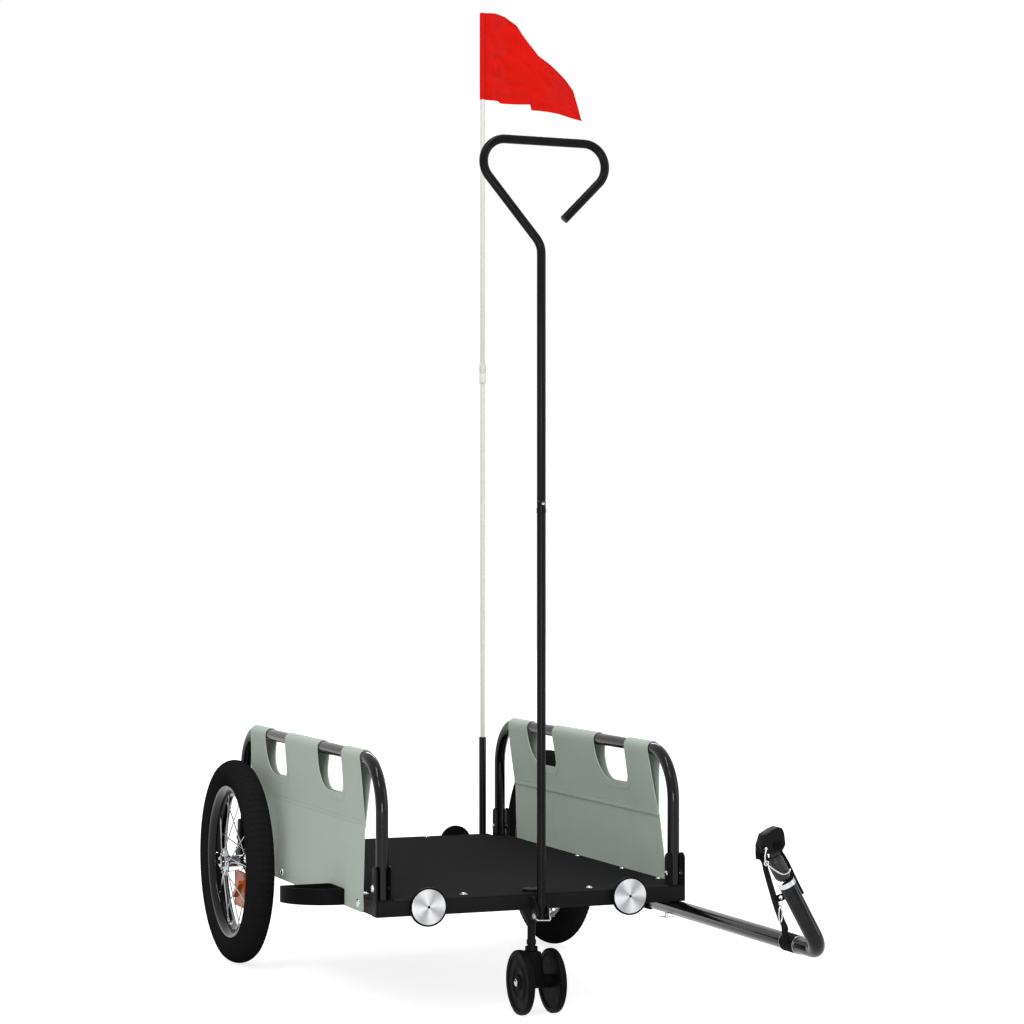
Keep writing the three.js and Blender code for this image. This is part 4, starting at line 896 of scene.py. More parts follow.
@dataclass
class Deck:
    """The welded frame of box rails, its load panel and the screws that hold the panel."""

    half_width: float = 291.5
    half_length: float = 453.0
    underside: float = 183.0
    rail_top: float = 209.0
    rail_width: float = 25.0
    top: float = 213.0
    members: tuple[float, ...] = (-122.3, 9.06, 285.0)
    socket_y: float = -438.0
    notch: tuple[float, float] = (29.5, 28.2)
    rear_notch: float = 48.0
    screws: tuple[tuple[float, float], ...] = (
        (-125.0, -431.0), (115.0, -431.0), (-120.0, 441.0), (120.0, 441.0),
        (284.5, -361.0), (284.5, -199.0), (284.5, 15.0), (284.5, 215.0),
        (-284.5, -361.0), (-284.5, -199.0), (-284.5, 15.0), (-284.5, 215.0),
    )

    def build(self) -> None:
        """Makes every piece of the deck."""
        fit(self.rails(), Body.CHASSIS, ["deck_frame"])
        fit(self.panel(), Body.CHASSIS, ["deck_panel"])
        fit(self.panel_screws(), Body.CHASSIS)

    def rails(self) -> bpy.types.Object:
        """The rails and cross members with the nose caster's socket, as one weldment."""
        wide, long, rail = self.half_width, self.half_length, self.rail_width
        low, high = self.underside, self.rail_top
        base = Form().box((-wide, -long, low), (wide, long, high)).object("deck_rails", FRAME_PAINT)
        starts = [-long + rail, *(y + rail / 2 for y in self.members)]
        stops = [*(y - rail / 2 for y in self.members), long - rail]
        bays = Form()
        for start, stop in zip(starts, stops):
            bays.box((rail - wide, start, low - 5), (wide - rail, stop, high + 5))
        carve(base, bays.object("bays", FRAME_PAINT), "DIFFERENCE")
        socket = Form().lathe(
            [(0, 158), (8.4, 158), (9.6, 160), (22, 184), (22, 188), (0, 188)], Vector((0, self.socket_y, 0))
        )
        carve(base, socket.object("socket", FRAME_PAINT), "UNION")
        head = Form().lathe([(0, 183), (16, 183), (16, 209), (0, 209)], Vector((0, self.socket_y, 0)))
        carve(base, head.object("head", FRAME_PAINT), "UNION")
        return bevelled(base, 1.6, 3)

    def panel(self) -> bpy.types.Object:
        """The load panel with notched corners."""
        wide, long = self.half_width, self.half_length
        inner, (side, front) = wide - self.notch[0], self.notch
        rear = self.rear_notch
        outline = [
            (-inner, -long), (inner, -long), (inner, front - long), (wide, front - long),
            (wide, long - rear), (inner, long - rear), (inner, long), (-inner, long),
            (-inner, long - rear), (-wide, long - rear), (-wide, front - long), (-inner, front - long),
        ]
        made = Form().prism(outline, Z, self.rail_top + GAP, self.top).object("load_panel", BOARD)
        return bevelled(made, 0.9, 2)

    def panel_screws(self) -> bpy.types.Object:
        """Domed screws with a socket, at the panel's edges."""
        profile = [
            (0, 1.4), (1.7, 1.4), (2.0, 3.0), (3.4, 2.7), (4.8, 1.8), (5.5, 0.8), (5.6, 0.5), (7.0, 0.4),
            (7.0, -0.2),
            (0, -0.2),
        ]
        shape = Form().lathe(profile, Vector(), Z, 24).object("screw_shape", ZINC, Vector())
        points = [Vector((x, y, self.top)) for x, y in self.screws]
        made = copies_recipe("screws", ZINC).make("panel_screws", ZINC, points, Shape=shape)
        bpy.data.objects.remove(shape)
        return made


@dataclass
class ClothSide:
    """One fabric side: a loop over the hoop's tube, sewn shut below it, with two hand holes."""

    side: str
    sign: int
    hoop_x: float = 278.2
    hoop_z: float = 452.0
    radius: float = 12.2
    thickness: float = 1.5
    hem_thickness: float = 1.7
    hem: float = 15.0
    skirt_x: float = 292.75
    seam: tuple[float, float] = (283.9, 338.0)
    cheek: float = 446.0
    bottom: float = 182.0
    deck_top: float = 213.0
    top: float = 466.6
    top_y: tuple[float, float] = (-345.0, 337.0)
    foot_y: tuple[float, float] = (-379.0, 359.5)
    corner: float = 10.0
    holes: tuple[tuple[float, float], ...] = ((103.0, 240.0), (-247.0, -102.0))
    hole_bottom: float = 378.0
    hole_corners: tuple[float, float] = (18.0, 60.0)
    slot: tuple[float, float, float] = (271.0, 299.0, 212.0)
    bands: tuple[tuple[float, float, float, float], ...] = ((-400, 331, 400, 341), (146, 196, 155, 331))
    screws: tuple[float, ...] = (-350.0, -117.0, 115.0, 345.0)
    line: list[tuple[float, float]] = field(default_factory=list)

    def __post_init__(self) -> None:
        """Lays out the cloth's section, from its lower edge over the tube to its inner hem."""
        x, z, r = self.hoop_x, self.hoop_z, self.radius
        corners = [(self.skirt_x, self.bottom), (self.skirt_x, self.deck_top), self.seam, (x + r, self.cheek)]
        arc = [(x + r * math.cos(math.pi * i / 16), z + r * math.sin(math.pi * i / 16)) for i in range(17)]
        tail = [
            (x - r, self.cheek), (self.seam[0] - 1.9, self.seam[1] + 2),
            (self.seam[0] - 1.3, self.seam[1] - 9)
        ]
        route = [*corners, *arc, *tail]
        self.line = [route[0]]
        for (x0, z0), (x1, z1) in zip(route, route[1:]):
            steps = max(1, round(math.hypot(x1 - x0, z1 - z0) / 6))
            self.line.extend(
                (x0 + (x1 - x0) * i / steps, z0 + (z1 - z0) * i / steps) for i in range(1, steps + 1)
            )

    def outside_x(self, z: float) -> float:
        """How far out the outer layer's middle is at some height."""
        if z <= self.deck_top:
            return self.skirt_x
        if z <= self.seam[1]:
            share = (z - self.deck_top) / (self.seam[1] - self.deck_top)
            return self.skirt_x + (self.seam[0] - self.skirt_x) * share
        share = min(1.0, (z - self.seam[1]) / (self.cheek - self.seam[1]))
        return self.seam[0] + (self.hoop_x + self.radius - self.seam[0]) * share

    def inside_x(self, z: float) -> float:
        """How far out the inner layer's middle is at some height."""
        if z <= self.seam[1]:
            return self.outside_x(z)
        share = min(1.0, (z - self.seam[1]) / (self.cheek - self.seam[1]))
        low = self.seam[0] - 1.9
        return low + (self.hoop_x - self.radius - low) * share

    def swell(self, y: float, z: float) -> float:
        """How far a point of the cloth stands out of its flat shape."""
        free = min(1.0, max(0.0, (z - self.deck_top) / 60)) * min(1.0, max(0.0, (448 - z) / 40))
        broad = noise.noise(Vector((y / 150, z / 110, 3.1 + self.sign))) * 1.6
        fine = noise.noise(Vector((y / 34, z / 90, 7.7 + self.sign))) * 0.45
        return free * (broad + fine)

    def strip(self, name: str, thickness: float) -> bpy.types.Object:
        """The whole strip of cloth before it is cut to its outline.

        Args:
            name: The object's name.
            thickness: The cloth's thickness in millimetres.

        Returns:
            The closed object.
        """
        low, high = self.foot_y[0] - 12, self.foot_y[1] + 12
        count = round((high - low) / 6)
        form = Form()
        for x, z in self.line:
            for i in range(count + 1):
                y = low + (high - low) * i / count
                form.points.append(Vector((x + self.swell(y, z), y, z)))
        width = count + 1
        for i in range(len(self.line) - 1):
            for j in range(count):
                at = i * width + j
                form.faces.append([at, at + 1, at + width + 1, at + width])
        made = form.object(name, SAGE)
        solid = made.modifiers.new("solid", "SOLIDIFY")
        solid.thickness = thickness * MM
        solid.offset = 0
        return settle(made)

    def outline(self, inset: float) -> list[tuple[float, float]]:
        """The cloth's outline from the side, in Y and Z, with its edges moved inwards.

        Args:
            inset: How far the edges are moved, in millimetres.

        Returns:
            The outline's corners.
        """
        top = self.hoop_z + 40
        low = self.bottom + inset
        near, far, slot_top = self.slot
        turns = [math.pi / 2 * i / 12 for i in range(13)]
        front, rear = self.edge(0, low) + inset, self.edge(1, low) - inset
        r = max(1.0, self.corner - inset)
        points = [(self.edge(0, self.top) + inset, top), (self.edge(0, low + r) + inset, low + r)]
        points += [(front + r - r * math.cos(a), low + r - r * math.sin(a)) for a in turns[1:]]
        points += [(near - inset, low), (near - inset, slot_top + inset), (far + inset, slot_top + inset)]
        points += [(far + inset, low), (rear, low), (self.edge(1, self.top) - inset, top)]
        floor = self.hole_bottom - inset
        ahead, behind = (r + inset for r in self.hole_corners)
        for start, stop in self.holes:
            start, stop = start - inset, stop + inset
            points.append((stop, top))
            points += [(stop - behind * (1 - math.cos(a)), floor + behind * (1 - math.sin(a))) for a in turns]
            points += [(start + ahead * (1 - math.sin(a)), floor + ahead * (1 - math.cos(a))) for a in turns]
            points.append((start, top))
        return points

    def edge(self, end: int, z: float) -> float:
        """Where the front (0) or rear (1) edge is at some height."""
        share = (self.top - z) / (self.top - self.bottom)
        return self.top_y[end] + (self.foot_y[end] - self.top_y[end]) * share

    def cutter(self, inset: float) -> bpy.types.Object:
        """A block with the cloth's outline, all the way through both layers."""
        return Form().prism(self.outline(inset), X, 240, 320).object("cutter", SAGE)

    def turned(self, made: bpy.types.Object) -> bpy.types.Object:
        """Puts a piece that was made for the left on this side."""
        if self.sign < 0:
            flip = Matrix.Translation(ORIGIN) @ Matrix.Diagonal((-1, 1, 1, 1)) @ Matrix.Translation(-ORIGIN)
            made.data.transform(flip)
            made.data.flip_normals()
        return made

    def stitch_paths(self) -> list[list[Vector]]:
        """The lines of stitching, on the faces of both layers."""
        half = self.hem_thickness / 2
        rows: list[list[Vector]] = []
        hems = [self.outline(self.hem - 3.0)]
        for outline in hems:
            for x_of, out in ((self.outside_x, half), (self.inside_x, -half)):
                run: list[Vector] = []
                for (y0, z0), (y1, z1) in zip(outline, [*outline[1:], outline[0]]):
                    steps = max(1, round(math.hypot(y1 - y0, z1 - z0) / 8))
                    for i in range(steps):
                        y, z = y0 + (y1 - y0) * i / steps, z0 + (z1 - z0) * i / steps
                        if z > self.cheek:
                            if len(run) > 1:
                                rows.append(run)
                            run = []
                            continue
                        run.append(Vector((x_of(z) + self.swell(y, z) + out, y, z)))
                if len(run) > 1:
                    rows.append(run)
        level, upright = self.bands
        count = round((level[2] - level[0]) / 8)
        ys = [level[0] + (level[2] - level[0]) * i / count for i in range(count + 1)]
        runs = [[(y, z) for y in ys if self.inside(y, z)] for z in (level[1] + 2, level[3] - 2)]
        runs += [[(y, z) for z in range(200, 330, 8)] for y in (upright[0] + 2, upright[2] - 2)]
        for run in runs:
            for x_of, out in ((self.outside_x, half), (self.inside_x, -half)):
                rows.append([Vector((x_of(z) + self.swell(y, z) + out, y, z)) for y, z in run])
        return rows

    def inside(self, y: float, z: float) -> bool:
        """Whether a place is on the cloth, between its upright edges."""
        return self.edge(0, z) + 2 < y < self.edge(1, z) - 2

    def build(self) -> None:
        """Makes the cloth, its hems, its stitching and its screws."""
        cloth = self.strip(f"{self.side}_cloth", self.thickness)
        carve(cloth, self.cutter(0.0), "INTERSECT")
        hem = self.strip(f"{self.side}_hem", self.hem_thickness)
        carve(hem, self.cutter(-0.4), "INTERSECT")
        middle = self.cutter(self.hem)
        for y0, z0, y1, z1 in self.bands:
            carve(middle, Form().box((230, y0, z0), (330, y1, z1)).object("band", SAGE), "DIFFERENCE")
        carve(hem, middle, "DIFFERENCE")
        self.turned(cloth)
        self.turned(hem)
        paths = self.stitch_paths()
        points: list[Vector] = []
        edges: list[tuple[int, int]] = []
        for path in paths:
            start = len(points)
            points.extend(Vector((p.x * self.sign, p.y, p.z)) for p in path)
            edges.extend((start + i, start + i + 1) for i in range(len(path) - 1))
        stitches = stitch_recipe("stitches", THREAD).make(f"{self.side}_stitches", THREAD, points, edges)
        profile = [(0, 1.2), (1.8, 1.2), (2.1, 2.6), (4.2, 2.0), (5.2, 0.9), (7.4, 0.7), (7.6, 0), (0, 0)]
        shape = Form().lathe(profile, Vector(), X * self.sign, 20).object("shape", ZINC, Vector())
        places = [Vector(((self.skirt_x + self.hem_thickness / 2) * self.sign, y, 196)) for y in self.screws]
        screws = copies_recipe("side_screws", ZINC).make(
            f"{self.side}_cloth_screws", ZINC, places, Shape=shape
        )
        bpy.data.objects.remove(shape)
        fit(cloth, Body.CHASSIS, [f"{self.side}_side_panel"])
        for made, slot in ((hem, "sage_fabric"), (stitches, "sage_fabric"), (screws, "zinc_steel")):
            fit(made, Body.CHASSIS)


@dataclass
class Hoop:
    """One side's tube hoop with its two brackets and bolts."""

    side: str
    sign: int
    x: float = 278.2
    ends: tuple[float, float] = (-436.1, 422.3)
    foot: float = 212.2
    top: float = 452.0
    bend: float = 90.0
    radius: float = 11.0
    middles: tuple[float, float] = (-440.0, 417.3)
    wing: float = 2.3
    depth: float = 24.0
    wing_top: float = 269.5
    corner: float = 11.0
    inner: float = 264.6
    outer: float = 291.8
    floor: float = 209.3
    underside: float = 183.0
    bolt_z: float = 231.5

    def build(self) -> None:
        """Makes the hoop, its brackets and its bolts."""
        y0, y1 = self.ends
        x = self.x * self.sign
        corners = [
            Vector(p) for p in ((x, y0, self.foot), (x, y0, self.top), (x, y1, self.top), (x, y1, self.foot))
        ]
        tube = Form().tube(
            bent(corners, self.bend, 24), self.radius, 48
        ).object(f"{self.side}_hoop_tube", TUBE_PAINT)
        fit(settle(tube), Body.CHASSIS, [f"{self.side}_side_hoop"])
        for end, middle, leg in zip(("front", "rear"), self.middles, self.ends):
            fit(self.bracket(end, middle), Body.CHASSIS, [f"{self.side}_{end}_bracket"])
            fit(self.bolt(end, leg), Body.CHASSIS, [f"{self.side}_{end}_bolt"])

    def bracket(self, end: str, middle: float) -> bpy.types.Object:
        """A folded plate with two round-topped wings."""
        near, far = middle - self.depth / 2, middle + self.depth / 2
        r = self.corner
        arc = [(math.cos(math.pi / 2 * i / 10), math.sin(math.pi / 2 * i / 10)) for i in range(11)]
        crown = [(far - r + r * c, self.wing_top - r + r * s) for c, s in arc]
        crown += [(near + r - r * c, self.wing_top - r + r * s) for c, s in reversed(arc)]
        outer_wing = [(near, self.underside), (far, self.underside), *crown]
        inner_wing = [(near, self.floor), (far, self.floor), *crown]
        low, high = self.inner, self.outer + self.wing
        form = Form().prism(outer_wing, X, self.outer, high).mirrored(self.sign)
        made = form.object(f"{self.side}_{end}_wings", FRAME_PAINT)
        inner_form = Form().prism(inner_wing, X, low, low + self.wing).mirrored(self.sign)
        carve(made, inner_form.object("inner", FRAME_PAINT), "UNION")
        base = Form().box((low, near, self.floor), (high, far, self.floor + self.wing)).mirrored(self.sign)
        carve(made, base.object("base", FRAME_PAINT), "UNION")
        return bevelled(made, 0.6)

    def bolt(self, end: str, leg: float) -> bpy.types.Object:
        """A domed bolt through both wings, with a spacer beside the tube."""
        low, high = self.inner - GAP, self.outer + self.wing + GAP
        profile = [
            (0, low - 3.2), (2.6, low - 3.0), (4.6, low - 2.0), (5.5, low - 0.6), (5.5, low), (3, low),
            (3, self.outer - 2.6), (6.6, self.outer - 2.6), (6.6, self.outer - 0.2), (3, self.outer - 0.2),
            (3, high), (7, high), (7, high + 0.8), (5.6, high + 0.9), (5.2, high + 2.6), (3.4, high + 3.4),
            (0, high + 3.6),
        ]
        form = Form().lathe(profile, Vector((0, leg, self.bolt_z)), X, 32).mirrored(self.sign)
        return settle(form.object(f"{self.side}_{end}_bolt_set", ZINC))


@dataclass
class Wheel:
    """One wheel with its tyre, rim, spokes, hub and reflector, and the stub axle that carries it."""

    side: str
    sign: int
    x: float = 336.8
    y: float = 285.0
    z: float = 200.0
    section: float = 27.2
    section_at: float = 172.0
    tread: float = 0.8
    rows: tuple[tuple[float, float, float], ...] = (
        (0, 6.6, 5.4), (15, 6.0, 4.6), (-15, 6.0, 4.6), (31, 5.4, 4.0), (-31, 5.4, 4.0), (47, 4.6, 3.2),
        (-47, 4.6, 3.2),
    )
    lugs: int = 96
    spokes: int = 20
    spoke_radius: float = 1.15
    foot_radius: float = 24.0
    foot_x: float = 22.5
    lean: float = 0.5
    rim_inner: float = 133.5
    turn: float = -35.0
    tip_x: float = 3.0
    plate: tuple[float, float, float, float] = (70.0, 69.0, 34.0, 51.5)

    @property
    def body(self) -> Body:
        """The body that turns."""
        return Body.LEFT_WHEEL if self.sign > 0 else Body.RIGHT_WHEEL

    @property
    def centre(self) -> Vector:
        """The wheel's middle on this side."""
        return Vector((self.x * self.sign, self.y, self.z))

    def build(self) -> None:
        """Makes every piece of the wheel."""
        fit(self.tyre(), self.body, [f"{self.side}_tyre"])
        fit(self.treads(), self.body)
        fit(self.rim(), self.body, [f"{self.side}_rim"])
        fit(self.hub(), self.body, [f"{self.side}_hub"])
        ends = [self.spoke(i) for i in range(self.spokes)]
        points = [p for pair in ends for p in pair]
        edges = [(2 * i, 2 * i + 1) for i in range(self.spokes)]
        wires = rod_recipe("spoke_wires", CHROME, 8)
        made = wires.make(f"{self.side}_spokes", CHROME, points, edges, Radius=self.spoke_radius * MM)
        fit(made, self.body)
        nipples = [p for foot, tip in ends for p in (tip + (foot - tip).normalized() * 9, tip)]
        made = wires.make(f"{self.side}_nipples", CHROME, nipples, edges, Radius=2.1 * MM)
        fit(made, self.body)
        heads = []
        for foot, _ in ends:
            out = 1 if foot.x > self.centre.x else -1
            heads += [foot - X * (out * 2.6), foot + X * (out * 3.4)]
        made = wires.make(f"{self.side}_spoke_heads", CHROME, heads, edges, Radius=2.5 * MM)
        fit(made, self.body)
        fit(self.reflector(), self.body, [f"{self.side}_spoke_reflector"])
        fit(self.axle(), Body.CHASSIS, [f"{self.side}_axle"])
        release = Body.LEFT_RELEASE if self.sign > 0 else Body.RIGHT_RELEASE
        fit(self.button(), release, [f"{self.side}_release_button"])

    def tyre(self) -> bpy.types.Object:
        """The tyre's carcass with a few fine ribs on its walls."""
        profile = []
        for i in range(72):
            angle = 2 * math.pi * i / 72
            rise = 0.5 if i in (22, 26, 46, 50) else 0.0
            r = self.section + rise
            profile.append((self.section_at + r * math.cos(angle), r * math.sin(angle)))
        made = Form().lathe(
            [*profile, profile[0]], self.centre, X, 128
        ).object(f"{self.side}_tyre_skin", TYRE)
        return settle(made, 50)

    def treads(self) -> bpy.types.Object:
        """The tread's small lugs, in rows round the tyre."""
        shape = Form()
        for turn, wide, long in self.rows:
            a = math.radians(turn)
            out = Vector((math.sin(a), 0, math.cos(a)))
            along = Vector((math.cos(a), 0, -math.sin(a)))
            middle = Vector((0, 0, self.section_at)) + out * (self.section - 0.4)
            rings = []
            for lift, share in ((0, 1.0), (0.4 + self.tread * 0.7, 0.94), (0.4 + self.tread, 0.8)):
                half_w, half_l = wide / 2 * share, long / 2 * share
                skew = 1.2 if turn else 0.0
                corners = [(-half_w, -half_l), (half_w, -half_l), (half_w, half_l), (-half_w, half_l)]
                rings.append(
                    [middle + out * lift + along * u + Y * (v + skew * u / half_w) for u, v in corners]
                )
            shape.loft(rings)
        form = shape.object("lug", TYRE, Vector())
        turns = [2 * math.pi * (i + 0.5) / self.lugs for i in range(self.lugs)]
        points = [self.centre] * self.lugs
        recipe = copies_recipe("tread_lugs", TYRE)
        made = recipe.make(f"{self.side}_tread", TYRE, points, turns=turns, Shape=form)
        bpy.data.objects.remove(form)
        return made

    def rim(self) -> bpy.types.Object:
        """The painted rim's hollow section."""
        half = [
            (133.5, 6.5), (135.1, 10.4), (141.5, 16.4), (148.6, 18.6), (150.2, 18.0), (149.4, 16.8),
            (145.5, 14.2),
            (143.8, 9.0),
        ]
        profile = [(r, -x) for r, x in reversed(half)] + half
        made = Form().lathe(
            [*profile, profile[0]], self.centre, X, 128
        ).object(f"{self.side}_rim_hoop", TUBE_PAINT)
        return settle(bevelled(made, 0.8), 50)

    def spoke(self, index: int) -> tuple[Vector, Vector]:
        """A spoke's foot at the hub and its tip at the rim."""
        flange = 1 if index % 2 else -1
        lean = self.lean if (index // 2) % 2 else -self.lean
        turn = 2 * math.pi * index / self.spokes + math.radians(self.turn)

        def at(x: float, radius: float, angle: float) -> Vector:
            """A place round the axle."""
            return self.centre + Vector((x, radius * math.cos(angle), radius * math.sin(angle)))

        foot = at(flange * self.foot_x, self.foot_radius, turn + lean)
        return foot, at(flange * self.tip_x, self.rim_inner + 1, turn)

    def hub(self) -> bpy.types.Object:
        """The chromed hub with its two flanges."""
        half = [
            (11.5, 0), (11.5, 11), (13.5, 17), (17, 20.4), (25.8, 20.8), (27, 21.8), (27, 23), (25.8, 24),
            (17, 24.4),
            (14.6, 25), (13.6, 27), (6.6, 27),
        ]
        profile = [(r, -x) for r, x in reversed(half[1:])] + half
        made = Form().lathe(
            [*profile, profile[0]], self.centre, X, 48
        ).object(f"{self.side}_hub_shell", CHROME)
        return settle(made, 40)

    def reflector(self) -> bpy.types.Object:
        """The amber plate between the spokes, with its rim and the bar that grips them."""
        wide, high, ahead, below = self.plate
        plate_at = Matrix.Translation(self.centre - Y * ahead - Z * below)
        made = Form().prism(
            rounded(wide, high, 6, 6), X, -3, 3, plate_at
        ).object(f"{self.side}_spoke_lens", ORANGE)
        rim = rounded(wide - 5, high - 5, 4, 6)
        for sign in (-1, 1):
            at = sorted((sign * 2.5, sign * 8.0))
            pocket = Form().prism(rim, X, at[0], at[1], plate_at)
            carve(made, pocket.object("pocket", ORANGE), "DIFFERENCE")
        place = Matrix.Translation(self.centre) @ Matrix.Rotation(math.radians(self.turn), 4, "X")
        bar = [(y, z - 62) for y, z in rounded(56, 8, 2.5, 4)]
        grip = Form().prism(bar, X, -11, 11, place).object("grip", ORANGE)
        carve(made, grip, "UNION")
        return bevelled(made, 0.5)

    def axle(self) -> bpy.types.Object:
        """The fixed stub axle, its collar at the deck and its domed cap with a socket."""
        profile = [
            (0, 245.5), (6, 245.5), (6, 291.8), (9.2, 291.8), (10, 292.6), (10, 308.5), (9.2, 309.3),
            (6, 309.3),
            (6, 364.3), (10.2, 364.3), (11, 365.2), (11, 369.4), (9.6, 371.0), (7.8, 371.3), (4.9, 371.3),
            (4.7, 355.2),
            (0, 355.2),
        ]
        form = Form().lathe(profile, Vector((0, self.y, self.z)), X, 48).mirrored(self.sign)
        return settle(form.object(f"{self.side}_stub_axle", CHROME), 40)

    def button(self) -> bpy.types.Object:
        """The release button in the axle's end."""
        profile = [
            (0, 359.5), (4.2, 359.5), (4.2, 374.6), (3.6, 375.5), (2.4, 375.8), (1.8, 375.3), (0, 375.2)
        ]
        form = Form().lathe(profile, Vector((0, self.y, self.z)), X, 32).mirrored(self.sign)
        return settle(form.object(f"{self.side}_button", MOULDED), 40)


@dataclass
class WheelGuard:
    """The moulded bumper in front of one wheel: a quarter hoop with lips and a stiffening web."""

    side: str
    sign: int
    inner: float = 293.9
    corner_y: float = -192.0
    reach: float = 95.0
    depth: float = 82.0
    wall: float = 3.0
    low: float = 183.0
    height: float = 29.0

    def build(self) -> None:
        """Makes the guard."""
        rings = []
        path = [(self.inner + self.wall / 2, self.corner_y - self.depth + self.wall / 2)]
        for i in range(25):
            angle = math.pi / 2 * (1 - i / 24)
            along = (self.reach - self.wall) * math.cos(angle), (self.depth - self.wall) * math.sin(angle)
            path.append((self.inner + self.wall / 2 + along[0], self.corner_y - self.wall / 2 - along[1]))
        path += [
            (self.inner + self.reach - self.wall - 5, self.corner_y - self.wall / 2),
            (self.inner + self.wall / 2 + 3, self.corner_y - self.wall / 2),
            (self.inner + self.wall / 2, self.corner_y - self.wall / 2 - 3),
            (self.inner + self.wall / 2, self.corner_y - self.depth + 6),
        ]
        del path[0]
        line = [Vector((x, y, 0)) for x, y in path]
        count = len(line)
        for i, place in enumerate(line):
            ahead = (line[(i + 1) % count] - line[i - 1]).normalized()
            side = Vector((ahead.y, -ahead.x, 0))
            half = self.wall / 2
            lip = 1.0
            section = [
                (-half, 0), (half + lip, 0), (half + lip, 3), (half, 4.2), (half, self.height - 4.2),
                (half + lip, self.height - 3), (half + lip, self.height), (-half, self.height),
            ]
            rings.append([place - side * (u - lip) + Z * (self.low + v) for u, v in section])
        form = Form().loft(rings, loop=True).mirrored(self.sign)
        made = settle(form.object(f"{self.side}_guard", MOULDED), 30)
        fit(made, Body.CHASSIS, [f"{self.side}_wheel_guard"])


@dataclass
class NoseCaster:
    """The twin-wheel swivel caster under the deck's nose."""

    stem_y: float = -438.0
    axle_y: float = -461.0
    radius: float = 57.0
    tread: float = 9.0
    offset: float = 30.0
    width: float = 12.0
    half: float = 12.0

    def build(self) -> None:
        """Makes every piece of the caster."""
        at = Vector((0, self.stem_y, 0))
        stem = [
            (0, 84), (6, 84), (6, 108), (10.5, 108), (11.3, 108.8), (11.3, 115.2), (10.5, 116), (7.2, 116.6),
            (7.2, 119.5), (8.0, 119.5), (8.5, 120.2), (8.5, 127), (8.0, 127.8), (7.2, 127.8), (7.2, 204),
            (6.2, 205),
            (0, 205),
        ]
        made = settle(Form().lathe(stem, at, Z, 48).object("stem", FRAME_PAINT))
        fit(made, Body.CHASSIS, ["caster_stem"])
        cap = [
            (0, 205.3), (7, 205.3), (7, 213.3), (15.4, 213.3), (16, 214), (16, 216.8), (15.2, 218.2),
            (13.4, 218.8),
            (5.4, 218.8), (5, 218), (0, 218),
        ]
        fit(settle(Form().lathe(cap, at, Z, 48).object("cap", MOULDED)), Body.CHASSIS, ["caster_cap"])
        fit(self.fork(), Body.CASTER_FORK, ["caster_body"])
        fit(self.axle(), Body.CASTER_FORK, ["caster_axle"])
        for side, sign in SIDES:
            body = Body.LEFT_ROLLER if sign > 0 else Body.RIGHT_ROLLER
            fit(self.roller(side, sign), body, [f"{side}_caster_wheel"])

    def fork(self) -> bpy.types.Object:
        """The moulded body between the two rollers."""
        corners = [(-426, 107.5), (-426, 79.5), (-449, 57), (-473, 57), (-454, 107.5)]
        made = Form().prism(corners, X, -self.half, self.half).object("caster_housing", MOULDED)
        hood = [
            (-426, 107.5), (-424.6, 96), (-426, 84), (-432, 72), (-440, 60), (-449, 52), (-461, 46),
            (-472, 52),
            (-474, 60), (-468, 76), (-460, 94), (-454, 107.5),
        ]
        carve(made, Form().prism(hood, X, -8.4, 8.4).object("web", MOULDED), "UNION")
        boss = Form().lathe(
            [(0, -self.half), (11.4, -self.half), (12, -11.4), (12, 11.4), (11.4, self.half), (0, self.half)],
            Vector((0, self.axle_y, self.radius)), X, 40,
        )
        carve(made, boss.object("boss", MOULDED), "UNION")
        bore = Form().lathe(
            [(0, 79.5), (6.5, 79.5), (6.5, 112), (0, 112)], Vector((0, self.stem_y, 0)), Z, 32
        )
        carve(made, bore.object("bore", MOULDED), "DIFFERENCE")
        pivot = Form().lathe(
            [(0, -20), (4.3, -20), (4.3, 20), (0, 20)], Vector((0, self.axle_y, self.radius)), X, 32
        )
        carve(made, pivot.object("pivot", MOULDED), "DIFFERENCE")
        return bevelled(made, 0.9)

    def axle(self) -> bpy.types.Object:
        """The rollers' axle with a capped nut at each end."""
        centre = Vector((0, self.axle_y, self.radius))
        half = [
            (0, 41.5), (2.6, 41.3), (4.4, 40.4), (5.2, 39.2), (6.5, 38.9), (6.5, 37.3), (5.9, 36.5), (4, 36.5)
        ]
        profile = [(r, -x) for r, x in half] + half[::-1]
        return settle(Form().lathe(profile, centre, X, 36).object("roller_axle", ZINC))

    def roller(self, side: str, sign: int) -> bpy.types.Object:
        """One roller: a tyred disc with a dished face, a ring and a hub."""
        low, high = self.offset - self.width / 2, self.offset + self.width / 2
        r, tread = self.radius, self.radius - self.tread
        profile = [
            (4.5, 12.5), (12, 12.5), (12, low + 2.5), (tread - 1, low + 2.5), (tread, low + 0.4),
            (r - 2.6, low),
            (r - 0.8, low + 1.0), (r, low + 2.8), (r, high - 2.8), (r - 0.8, high - 1.0), (r - 2.6, high),
            (tread, high - 0.4), (tread - 1, high - 2.2), (tread - 4, high - 2.5), (30, high - 2.2),
            (28.5, high - 1.2),
            (26.5, high - 1.2), (25, high - 2.2), (15, high - 2.5), (13, high - 0.8), (12, high), (4.5, high),
        ]
        form = Form().lathe(
            [*profile, profile[0]], Vector((0, self.axle_y, self.radius)), X, 72
        ).mirrored(sign)
        return settle(form.object(f"{side}_roller", MOULDED), 40)


